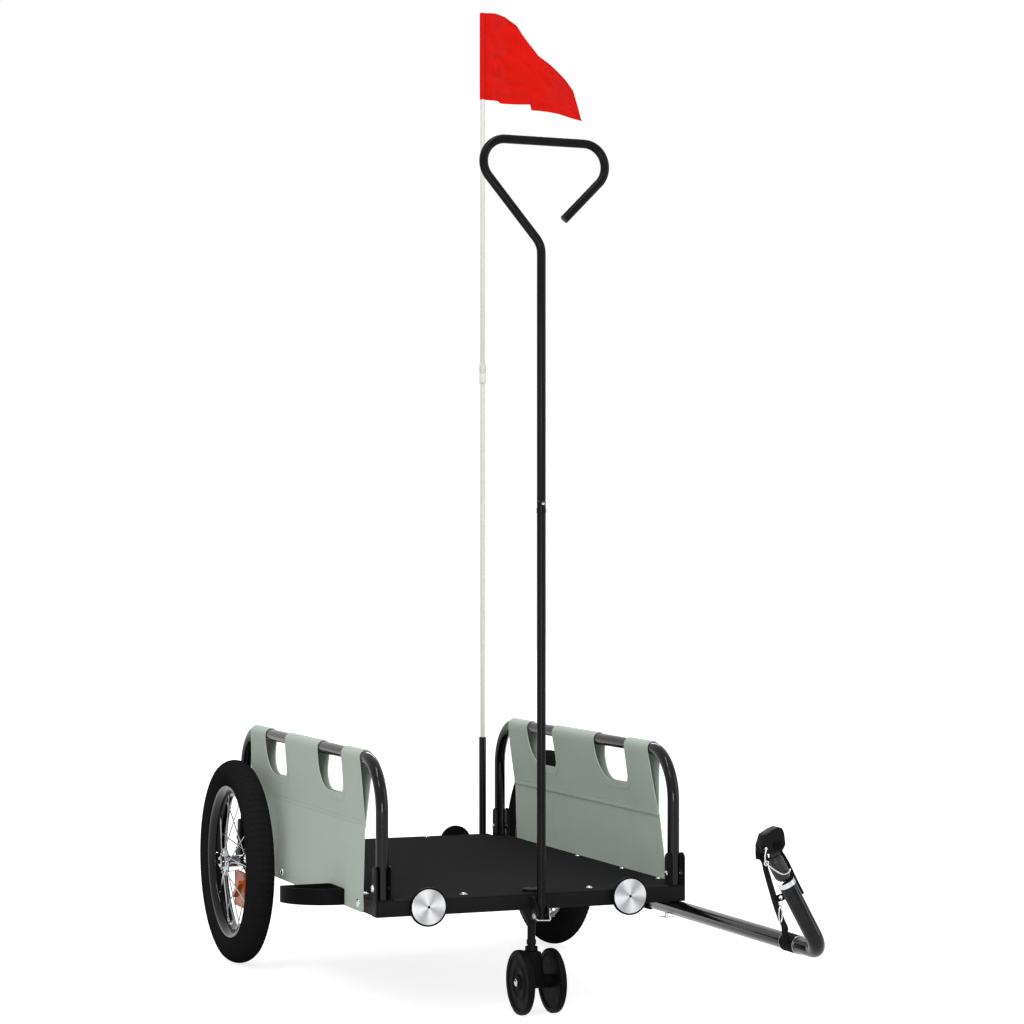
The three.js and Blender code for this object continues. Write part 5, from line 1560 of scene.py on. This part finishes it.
@dataclass
class PushHandle:
    """The two-part push handle, its bracket on the nose and its lock pin and snap button."""

    y: float = -484.0
    radius: float = 7.8
    foot: float = 168.0
    joint: float = 902.0
    bend: float = 40.0
    pin_z: float = 176.0
    button_z: float = 897.5
    loop: tuple[tuple[float, float], ...] = (
        (0, 902.3), (0, 1351), (-154.9, 1532.7), (177.5, 1532.7), (43, 1397)
    )
    bow: tuple[tuple[float, float, float], ...] = (
        (-13, -484, 176), (-13, -497, 169.9), (12.4, -497, 168.8), (12.4, -489, 180), (17.4, -487, 184),
    )

    def build(self) -> None:
        """Makes every piece of the handle."""
        at = Vector((0, self.y, 0))
        r = self.radius
        profile = [
            (6.4, self.foot), (7.3, self.foot), (r, self.foot + 0.6), (r, 881), (r + 0.6, 881.6),
            (r + 0.6, 890),
            (r, 890.6), (r, self.joint - 0.4), (7.4, self.joint), (6.4, self.joint),
        ]
        lower = Form().lathe([*profile, profile[0]], at, Z, 48)
        fit(settle(lower.object("handle_tube_low", HANDLE_PAINT)), Body.HANDLE, ["handle_lower"])
        path = bent([Vector((x, self.y, z)) for x, z in self.loop], self.bend, 22)
        upper = Form().tube(path, r, 48).object("handle_tube_high", HANDLE_PAINT)
        carve(upper, self.end_plug(), "UNION")
        fit(bevelled(upper, 0.4), Body.HANDLE, ["handle_upper"])
        out = -Y
        button = [(0, -6), (2.5, -6), (2.5, r + 0.9), (2.1, r + 1.5), (1.2, r + 1.8), (0, r + 1.85)]
        knob = Form().lathe(button, Vector((0, self.y, self.button_z)), out, 24)
        fit(settle(knob.object("snap_button", ZINC)), Body.HANDLE_BUTTON, ["handle_snap_button"])
        fit(self.bracket(), Body.CHASSIS, ["handle_bracket"])
        fit(self.pin(), Body.CHASSIS, ["handle_pin"])

    def end_plug(self) -> bpy.types.Object:
        """The round plug in the loop's open end."""
        (x0, z0), (x1, z1) = self.loop[-2:]
        axis = Vector((x1 - x0, 0, z1 - z0)).normalized()
        profile = [(0, -4), (6.2, -4), (6.2, 0.2), (5.4, 1.4), (0, 1.8)]
        return Form().lathe(
            profile, Vector((x1, self.y, z1)) - axis * 1.9, axis, 48
        ).object("plug", HANDLE_PAINT)

    def bracket(self) -> bpy.types.Object:
        """The two cheeks and the plate that hold the handle's foot."""
        cheek = [
            (-454.3, 207), (-454.3, 187), (-461.3, 183.3), (-461.3, 167), (-495, 167), (-495, 187),
            (-476.5, 207),
        ]
        made = Form().box((-10.7, -456.7, 187), (10.7, -454.3, 207)).object("nose_bracket", FRAME_PAINT)
        for low in (-10.7, 8.3):
            carve(made, Form().prism(cheek, X, low, low + 2.4).object("cheek", FRAME_PAINT), "UNION")
        return bevelled(made, 0.5)

    def pin(self) -> bpy.types.Object:
        """The lock pin with its sprung wire bow."""
        at = Vector((0, self.y, self.pin_z))
        head = [
            (0, -15), (4.2, -15), (5, -14.3), (5, -11.7), (4.4, -11), (3, -11), (3, 13.8), (2.2, 14.6),
            (0, 14.6),
        ]
        form = Form().lathe(head, at, X, 32)
        form.tube(bent([Vector(p) for p in self.bow], 3.0, 8), 1.1, 14)
        return settle(form.object("handle_lock_pin", ZINC))


def on_riser(lean: float, elbow: Vector) -> Matrix:
    """The place of a piece that is built with Z along the riser from the arm's elbow."""
    return Matrix.Translation(elbow) @ Matrix.Rotation(-math.radians(lean), 4, "Y")


@dataclass
class TowArm:
    """The tow arm with its saddle, pin, boot, coupler, safety strap and snap hook."""

    elbow: tuple[float, float, float] = (284.0, -981.7, 168.7)
    lean: float = 29.3
    rear_y: float = -240.0
    radius: float = 14.0
    bend: float = 32.0
    riser: float = 125.7
    pin_y: float = -395.0
    clamp_y: float = -310.0
    band_y: float = -885.9
    band_width: float = 46.6
    coupler: tuple[tuple[float, float], ...] = (
        (-0.33, 0.464), (-0.22, 0.339), (0, 0.25), (0.16, 0.214), (0.28, 0.16), (0.406, 0.214),
        (0.502, 0.282),
        (0.64, 0.589), (0.65, 0.732), (0.56, 0.821), (0.34, 0.857), (0, 0.857), (-0.28, 0.634),
    )
    pivot: tuple[float, float] = (12.0, 196.0)
    lock: tuple[float, float] = (-10.5, 203.7)
    bow: tuple[tuple[float, float], ...] = (
        (0, 0), (-0.25, 0.19), (-0.32, 0.35), (-0.115, 0.638), (0.147, 0.874), (0.45, 0.933), (0.63, 0.87),
    )
    climb: tuple[tuple[float, float, float], ...] = (
        (268.2, -885.9, 172), (264.4, -891, 196), (251.2, -905, 212.3), (236.4, -920, 231.8),
        (221.4, -935, 255.2),
        (209.2, -945, 278), (201.3, -950, 295.8), (194.3, -954, 313.3),
    )
    tail_eye: tuple[float, float] = (-12.0, 107.75)
    crossing: tuple[tuple[float, float], ...] = (
        (-9, 188), (-1, 200), (10, 202), (14.5, 190), (16.5, 172), (18, 150), (17, 118), (17, 92),
    )

    @property
    def place(self) -> Matrix:
        """The riser's own place."""
        return on_riser(self.lean, Vector(self.elbow))

    def build(self) -> None:
        """Makes every piece of the arm and the hitch."""
        elbow = Vector(self.elbow)
        start = Vector((elbow.x, self.rear_y, elbow.z))
        path = bent([start, elbow, self.place @ Vector((0, 0, self.riser))], self.bend, 20)
        arm = Form().tube(path, self.radius, 56).object("tow_tube", TUBE_PAINT)
        fit(bevelled(arm, 0.5), Body.CHASSIS, ["tow_arm"])
        fit(self.saddle(), Body.CHASSIS, ["arm_clamp"])
        fit(self.arm_lock(), Body.CHASSIS, ["arm_pin"])
        fit(self.ferrule(), Body.CHASSIS, ["hitch_ferrule"])
        fit(self.boot(), Body.HITCH_JOINT, ["hitch_boot"])
        fit(self.head(), Body.HITCH_HEAD, ["hitch_coupler"])
        fit(self.pivot_bolt(), Body.HITCH_HEAD, ["hitch_pin"])
        fit(self.lock_pin(), Body.HITCH_HEAD, ["hitch_lock_pin"])
        self.strap()
        fit(self.hook(), Body.CHASSIS, ["snap_hook"])

    def saddle(self) -> bpy.types.Object:
        """The rolled saddle that carries the arm under the deck."""
        inner, outer = self.radius + GAP, self.radius + GAP + 3
        arc = [
            (math.cos(math.pi + math.pi * i / 24), math.sin(math.pi + math.pi * i / 24)) for i in range(25)
        ]
        outline = [(-outer, self.radius), *[(outer * c, outer * s) for c, s in arc], (outer, self.radius)]
        outline += [
            (inner, self.radius), *[(inner * c, inner * s) for c, s in reversed(arc)], (-inner, self.radius)
        ]
        turn = Matrix.Translation((self.elbow[0], 0, self.elbow[2]))
        made = Form().prism(
            outline, Y, self.clamp_y - 18, self.clamp_y + 18, turn
        ).object("saddle", FRAME_PAINT)
        return bevelled(made, 0.6)

    def arm_lock(self) -> bpy.types.Object:
        """The pin through the arm with the wire clip across its foot."""
        at = Vector((self.elbow[0], self.pin_y, 0))
        form = Form().lathe([(0, 144), (3.2, 144), (4, 145.2), (4, 202), (3.4, 202.6), (0, 202.6)], at, Z, 28)
        clip = [at + Vector(p) for p in ((15, 0, 147.4), (-15, 0, 147.4), (-15, 0, 154.4))]
        form.tube(bent(clip, 3.0, 8), 1.1, 12)
        return settle(form.object("arm_lock_pin", ZINC))

    def ferrule(self) -> bpy.types.Object:
        """The bright band at the riser's top."""
        profile = [
            (0, 108), (11.9, 108), (11.9, 126), (14.1, 126), (14.5, 126.5), (14.5, 133.8), (14.1, 134.3),
            (0, 134.3),
        ]
        return settle(Form().lathe(profile, Vector(), Z, 56).moved(self.place).object("riser_band", ZINC))

    def boot(self) -> bpy.types.Object:
        """The moulded rubber joint: a domed foot, a neck and a tongue."""
        turns = [math.pi / 2 * i / 10 for i in range(11)]
        dome = [(13.4 * math.sin(a), 148.4 - 13.4 * math.cos(a)) for a in turns]
        profile = [*dome, (13.4, 173), (13, 174.6), (11.4, 177), (9.8, 179.4), (9, 180), (0, 180)]
        made = Form().lathe(profile, Vector(), Z, 48).moved(self.place).object("boot", BOOT)
        x, z = self.pivot
        arc = [(x + 9 * math.cos(math.pi * i / 16), z + 9 * math.sin(math.pi * i / 16)) for i in range(17)]
        tongue = Form().prism([(-8, 173.3), (8, 173.3), *arc], Y, -4.5, 4.5, self.place)
        carve(made, tongue.object("tongue", BOOT), "UNION")
        bore = Form().lathe(
            [(0, -20), (4.3, -20), (4.3, 20), (0, 20)], Vector((x, 0, z)), Y, 28
        ).moved(self.place)
        carve(made, bore.object("bore", BOOT), "DIFFERENCE")
        return bevelled(made, 0.7)

    def head(self) -> bpy.types.Object:
        """The coupler's forked block."""
        outline = [(a * 50, 174 + b * 56) for a, b in self.coupler]
        made = Form().prism(outline, Y, -11, 11, self.place).object("coupler", FRAME_PAINT)
        mouth = Form().box((-60, -5, 160), (60, 5, 208)).moved(self.place)
        carve(made, mouth.object("mouth", FRAME_PAINT), "DIFFERENCE")
        for (x, z), r in ((self.pivot, 4.3), (self.lock, 2.8)):
            bore = Form().lathe(
                [(0, -20), (r, -20), (r, 20), (0, 20)], Vector((x, 0, z)), Y, 28
            ).moved(self.place)
            carve(made, bore.object("bore", FRAME_PAINT), "DIFFERENCE")
        return bevelled(made, 1.6, 3)

    def pivot_bolt(self) -> bpy.types.Object:
        """The coupler's shouldered bolt."""
        x, z = self.pivot
        half = [
            (0, 14.2), (3.0, 14.2), (3.4, 13.2), (4.6, 13.0), (6.4, 13.6), (7, 12.8), (7, 11.6), (6.6, 11.3),
            (4, 11.3)
        ]
        profile = [(r, -h) for r, h in half] + half[::-1]
        form = Form().lathe(profile, Vector((x, 0, z)), Y, 36).moved(self.place)
        return settle(form.object("pivot_bolt", MOULDED))

    def lock_pin(self) -> bpy.types.Object:
        """The coupler's lock pin, its wire bow and the ring that joins them."""
        x, z = self.lock
        pin = [(0, -17.5), (2.1, -17.5), (2.5, -16.9), (2.5, 16.9), (2.1, 17.5), (0, 17.5)]
        form = Form().lathe(pin, Vector((x, 0, z)), Y, 24)
        corners = [Vector((x + a * 34, -16.4, z - b * 58)) for a, b in self.bow]
        form.tube(smooth_line(corners, 10), 1.1, 12)
        knot = Vector((x - 10.9, -16.4, z - 20.3))
        ring = [knot + Vector((3.6 * math.cos(a), 0, 3.6 * math.sin(a))) for a in
                (2 * math.pi * i / 28 for i in range(28))]
        form.tube(ring, 1.0, 10, loop=True)
        return settle(form.moved(self.place).object("coupler_lock_pin", ZINC))

    def strap(self) -> None:
        """The safety strap with its band round the arm and its tail behind the riser."""
        half = self.band_width / 2
        profile = [(14.3, -half), (15.5, -half), (15.5, half), (14.3, half), (14.3, -half)]
        band = Form().lathe(profile, Vector((self.elbow[0], self.band_y, self.elbow[2])), Y, 56)
        made = settle(band.object("strap_band", WEBBING))
        climb = [Vector(p) for p in self.climb]
        crossing = [self.place @ Vector((x, 19, z)) for x, z in self.crossing]
        path = [*climb, *crossing]
        widths = [Y.copy() for _ in climb]
        for i in range(len(climb), len(path)):
            after = path[min(i + 1, len(path) - 1)]
            widths.append((after - path[i - 1]).cross(Y).normalized())
        for i in range(1, len(widths)):
            if widths[i].dot(widths[i - 1]) < 0:
                widths[i] = -widths[i]
        line, turned = smooth_line(path, 8), smooth_line(widths, 8)
        ribbon = Form().sweep(line, rounded(20, 1.8, 0.7, 3), turned).object("strap_ribbon", WEBBING)
        fit(settle(ribbon), Body.CHASSIS, ["safety_strap"])
        fit(made, Body.CHASSIS)
        at = Vector((self.elbow[0], self.band_y, self.elbow[2]))
        # Thin light grey metal rings at the band's two edges.
        edges = Form()
        for low in (-half - 0.2, half - 0.8):
            edges.lathe(
                [(14.2, low), (15.8, low), (15.8, low + 1.0), (14.2, low + 1.0), (14.2, low)], at, Y, 56
            )
        fit(settle(edges.object("strap_band_edges", BAND_EDGE_METAL)), Body.CHASSIS)
        eye_x, eye_z = self.tail_eye
        tail = [(x + 2, z + 98 + 0.25 * (25 - x)) for x, z in rounded(50, 12, 5.9, 8)]
        flap = Form().prism(tail, Y, 20.3, 22.1, self.place).object("strap_end", WEBBING)
        eye = Form().lathe(
            [(0, 18), (3, 18), (3, 26), (0, 26)], Vector((eye_x, 0, eye_z)), Y, 28
        ).moved(self.place)
        carve(flap, eye.object("eye", WEBBING), "DIFFERENCE")
        fit(bevelled(flap, 0.4), Body.CHASSIS, ["strap_tail"])

    def hook(self) -> bpy.types.Object:
        """The ring in the strap's tail and the slim snap on it."""
        eye = self.place @ Vector((self.tail_eye[0], 21.3, self.tail_eye[1]))
        seat = eye.z - 3 + 1 + GAP
        ring_at = Vector((eye.x, eye.y, seat - 6))
        steps = [2 * math.pi * i / 36 for i in range(36)]
        form = Form().tube(
            [ring_at + Vector((0, 6 * math.cos(a), 6 * math.sin(a))) for a in steps], 1, 12, loop=True
        )
        snap_at = Vector((eye.x, eye.y, seat - 12 - 13))
        oval = [snap_at + Vector((3 * math.cos(a), 0, 13 * math.sin(a))) for a in steps]
        form.tube(oval, 1, 12, loop=True)
        return settle(form.object("hook_and_ring", ZINC))


@dataclass
class Flag:
    """The two-part fibreglass mast with its pennant, and the socket that holds it."""

    x: float = 254.5
    y: float = 462.0
    top: float = 1960.0
    hoist: float = 184.0
    reach: float = 232.5
    swing: float = 13.0
    thickness: float = 0.9
    upper: tuple[tuple[float, float], ...] = (
        (0, 1), (0.127, 1.01), (0.233, 0.984), (0.348, 0.896), (0.397, 0.804), (0.48, 0.658), (0.546, 0.549),
        (0.696, 0.417), (0.829, 0.292), (0.913, 0.182), (0.963, 0.002), (1, -0.165),
    )
    lower: tuple[tuple[float, float], ...] = (
        (0, -0.002), (0.15, -0.006), (0.185, -0.027), (0.478, -0.02), (0.482, -0.087), (0.745, -0.113),
        (1, -0.165),
    )

    def build(self) -> None:
        """Makes every piece of the mast."""
        at = Vector((self.x, self.y, 0))
        low = [(0, 190.3), (4.4, 190.3), (4.9, 191), (4.9, 1190.4), (4.5, 1191), (0, 1191)]
        fit(
            settle(Form().lathe(low, at, Z, 32).object("mast_low", POLE)), Body.FLAG_MAST, ["flag_pole_lower"]
        )
        high = [(0, 1191.3), (4.5, 1191.3), (4.9, 1192), (4.9, 1956.4), (4.2, 1957.8), (0, 1958)]
        fit(
            settle(Form().lathe(high, at, Z, 32).object("mast_high", POLE)), Body.FLAG_MAST,
            ["flag_pole_upper"]
        )
        sleeve = [
            (5.2, 1172), (6.5, 1172), (6.9, 1172.6), (6.9, 1189), (6.2, 1190.2), (6.2, 1192.8), (6.9, 1194),
            (6.9, 1211.4), (6.5, 1212), (5.2, 1212), (5.2, 1172),
        ]
        fit(
            settle(Form().lathe(sleeve, at, Z, 32).object("mast_sleeve", POLE)), Body.FLAG_MAST,
            ["flag_ferrule"]
        )
        fit(self.socket(), Body.CHASSIS, ["flag_holder"])
        self.pennant()

    def socket(self) -> bpy.types.Object:
        """The tube and its plate on the deck's rear rail."""
        at = Vector((self.x, self.y, 0))
        profile = [
            (0, 186), (7, 186), (7.6, 186.6), (7.6, 417), (7, 418), (5.4, 418), (5.4, 190), (0, 190),
        ]
        made = Form().lathe(profile, at, Z, 40).object("mast_socket", TUBE_PAINT)
        plate = Form().box((self.x - 14, 453.3, 186), (self.x + 14, 455.5, 209)).object("plate", TUBE_PAINT)
        carve(made, plate, "UNION")
        return bevelled(made, 0.4)

    @staticmethod
    def along(shares: Sequence[tuple[float, float]], place: float) -> float:
        """A line's height at some place on it."""
        for (x0, z0), (x1, z1) in zip(shares, shares[1:]):
            if x0 <= place <= x1:
                return z0 + (z1 - z0) * (place - x0) / (x1 - x0)
        return shares[-1][1]

    def sway(self, u: float, v: float) -> float:
        """How far the cloth swings towards the rear, for shares of its length and height."""
        fold = math.sin(u * 9.0 - 1.1 + 0.5 * math.sin(v * 3.2)) * min(1.0, u * 5)
        crease = math.sin((u * 2.2 + v) * 17) * 0.10 * min(1.0, u * 8) * max(0.0, 1 - u * 1.4)
        wrinkle = noise.noise(Vector((u * 7, v * 9, 2.3))) * 0.34 * min(1.0, u * 8)
        return self.swing * (0.62 * fold + crease + wrinkle * max(0.25, 1 - u))

    def pennant(self) -> None:
        """The pennant's waving cloth and its sleeve round the mast."""
        foot = self.top - self.hoist
        columns, rows = 84, 60
        form = Form()
        for i in range(columns + 1):
            u = (i / columns) ** 1.05
            low, high = self.along(self.lower, u), self.along(self.upper, u)
            for j in range(rows + 1):
                v = j / rows
                x = self.x + max(5.7, u * self.reach)
                z = foot + (low + (high - low) * v) * self.hoist
                y = self.y + (self.sway(u, v) if u > 0 else 0)
                form.points.append(Vector((x, y, z)))
        wide = rows + 1
        for i in range(columns):
            for j in range(rows):
                at = i * wide + j
                form.faces.append([at, at + wide, at + wide + 1, at + 1])
        cloth = form.object("pennant", PENNANT)
        solid = cloth.modifiers.new("solid", "SOLIDIFY")
        solid.thickness = self.thickness * MM
        solid.offset = 0
        settle(cloth, 60)
        profile = [(5.2, foot), (6.2, foot + 0.3), (6.2, self.top - 0.3), (5.2, self.top), (5.2, foot)]
        sleeve = settle(
            Form().lathe(profile, Vector((self.x, self.y, 0)), Z, 32).object("pennant_sleeve", PENNANT)
        )
        fit(cloth, Body.FLAG_MAST, ["flag"])
        fit(sleeve, Body.FLAG_MAST)


@dataclass
class EndReflector:
    """A round reflector on one end of the deck: a rim, a lens and a screw; the front lenses show turned
    facets as painted reflection.
    """

    name: str
    x: float
    rear: bool
    z: float = 198.0
    near: float = 453.3
    depth: float = 8.0

    def build(self) -> None:
        """Makes the reflector's housing, lens and screw."""
        out = Y if self.rear else -Y
        at = Vector((self.x, 0, self.z))
        near, far = self.near, self.near + self.depth
        shell = [
            (0, near), (32.6, near), (34, near + 1.4), (34, far - 0.8), (33.2, far), (31.4, far),
            (31.1, far - 1.8),
            (0, far - 1.8),
        ]
        housing = Form().lathe(shell, at, out, 96).object(f"{self.name}_housing", MOULDED)
        node = f"{self.name}_reflector"
        fit(settle(housing), Body.CHASSIS, [node])
        lens = [
            (0, far - 1.7), (30.9, far - 1.7), (30.9, far - 0.7), (29.8, far - 0.3), (3.6, far - 0.1),
            (0, far - 0.1)
        ]
        centre = (ORIGIN.x + self.x * MM, self.z * MM)
        # The front lenses' light and dark streaks between these two greys are painted reflection.
        finish = RED if self.rear else PaintedGlintFacets(f"{self.name}_facets", "d6d7d9", "9d9fa2", 0.3, centre=centre)
        disc = Form().lathe(lens, at, out, 96).object(f"{self.name}_lens", finish)
        fit(settle(disc), Body.CHASSIS)
        dot = Form().lathe([(0, far - 1), (2.6, far - 1), (2.6, far - 0.02), (0, far)], at, out, 24)
        fit(settle(dot.object(f"{self.name}_dot", MOULDED)), Body.CHASSIS)


@dataclass(frozen=True)
class Lamp:
    """A soft square lamp."""

    name: str
    place: tuple[float, float, float]
    aim: tuple[float, float, float]
    size: tuple[float, float]
    power: float

    def build(self) -> None:
        """Makes the lamp."""
        light = bpy.data.lights.new(self.name, "AREA")
        light.shape = "RECTANGLE"
        light.size, light.size_y = self.size
        light.energy = self.power
        lamp = bpy.data.objects.new(self.name, light)
        lamp.visible_camera = False
        lamp.location = self.place
        lamp.rotation_euler = (Vector(self.aim) - Vector(self.place)).to_track_quat("-Z", "Y").to_euler()
        bpy.context.scene.collection.objects.link(lamp)


@dataclass
class Studio:
    """The camera, the pale floor and the soft light."""

    camera_at: tuple[float, float, float] = (-1.76325, -4.38725, 0.8183)
    camera_towards: tuple[float, float, float] = (0.3704, 0.9289, 0.0)
    lens: float = 90.29
    shift: float = 0.0361
    floor: float = 30.0
    ambient: float = 0.8
    lamps: tuple[Lamp, ...] = (
        Lamp("key", (-2.8, -2.9, 4.6), (0, 0, 0.5), (1.4, 1.4), 52),
        Lamp("front", (-1.1, -3.1, 0.6), (0.25, 0, 0.35), (0.7, 0.7), 30),
        Lamp("top", (-1.0, -0.8, 4.6), (0, 0, 0.4), (0.5, 2.4), 60),
        Lamp("side", (3.8, -2.6, 1.8), (0, 0, 0.7), (0.9, 3.2), 45),
        Lamp("back", (1.5, 4.5, 3.6), (0, 0, 0.6), (3.0, 0.6), 60),
    )

    def build(self) -> None:
        """Makes the studio."""
        scene = bpy.context.scene
        scene.view_settings.view_transform = "Standard"
        data = bpy.data.cameras.new("camera")
        data.lens = self.lens
        data.sensor_width = 36.0
        data.shift_y = self.shift
        data.clip_start, data.clip_end = 0.05, 200.0
        camera = bpy.data.objects.new("camera", data)
        camera.location = self.camera_at
        camera.rotation_euler = Vector(self.camera_towards).to_track_quat("-Z", "Y").to_euler()
        scene.collection.objects.link(camera)
        scene.camera = camera
        self.world(scene)
        self.ground(scene)
        for lamp in self.lamps:
            lamp.build()

    def world(self, scene: bpy.types.Scene) -> None:
        """A grey dome that looks white to the camera."""
        world = bpy.data.worlds.new("studio")
        world.use_nodes = True
        nodes, links = world.node_tree.nodes, world.node_tree.links
        back = nodes["Background"]
        back.inputs["Color"].default_value = (1, 1, 1, 1)
        path = nodes.new("ShaderNodeLightPath")
        level = nodes.new("ShaderNodeMapRange")
        seen = path.outputs["Is Camera Ray"]
        for ray in ("Is Glossy Ray", "Is Transmission Ray"):
            either = nodes.new("ShaderNodeMath")
            either.operation = "MAXIMUM"
            links.new(seen, either.inputs[0])
            links.new(path.outputs[ray], either.inputs[1])
            seen = either.outputs[0]
        links.new(seen, level.inputs["Value"])
        level.inputs["To Min"].default_value = self.ambient
        level.inputs["To Max"].default_value = 1.0
        links.new(level.outputs["Result"], back.inputs["Strength"])
        scene.world = world

    def ground(self, scene: bpy.types.Scene) -> None:
        """The floor, white to the camera but for the object's soft shadow."""
        mesh = bpy.data.meshes.new("floor")
        half = self.floor / 2
        mesh.from_pydata(
            [(-half, -half, 0), (half, -half, 0), (half, half, 0), (-half, half, 0)], [], [[0, 1, 2, 3]]
        )
        floor = bpy.data.objects.new("floor", mesh)
        scene.collection.objects.link(floor)
        graph = Graph("pale_floor")
        nodes, links = graph.nodes, graph.links
        path = graph.add("ShaderNodeLightPath")
        graph.set(Base__Color=(0.5, 0.5, 0.5, 1), Roughness=0.9, Specular__IOR__Level=0.0)
        seen = graph.math("MAXIMUM", path.outputs["Is Camera Ray"], path.outputs["Is Glossy Ray"])
        seen = graph.math("MAXIMUM", seen, path.outputs["Is Transmission Ray"])
        glow = graph.add("ShaderNodeEmission", Color_=(1, 1, 1, 1))
        links.new(graph.math("MULTIPLY", seen, 0.8), glow.inputs["Strength"])
        both = graph.add("ShaderNodeAddShader")
        links.new(graph.shader.outputs[0], both.inputs[0])
        links.new(glow.outputs[0], both.inputs[1])
        links.new(both.outputs[0], graph.output.inputs["Surface"])
        mesh.materials.append(graph.material)
        log.info("floor with %d nodes", len(nodes))


def main() -> None:
    """Builds the studio and every sub-assembly."""
    logging.basicConfig(level=logging.INFO, format="%(name)s: %(message)s")
    Studio().build()
    Deck().build()
    for side, sign in SIDES:
        Hoop(side, sign).build()
        ClothSide(side, sign).build()
        Wheel(side, sign).build()
        WheelGuard(side, sign).build()
    NoseCaster().build()
    PushHandle().build()
    TowArm().build()
    Flag().build()
    for name, x, rear in (
        ("front_right", -200.8, False), ("front_left", 181.8, False), ("rear_right", -191.0, True),
        ("rear_left", 191.0, True),
    ):
        EndReflector(name, x, rear).build()


if __name__ == "__main__":
    main()
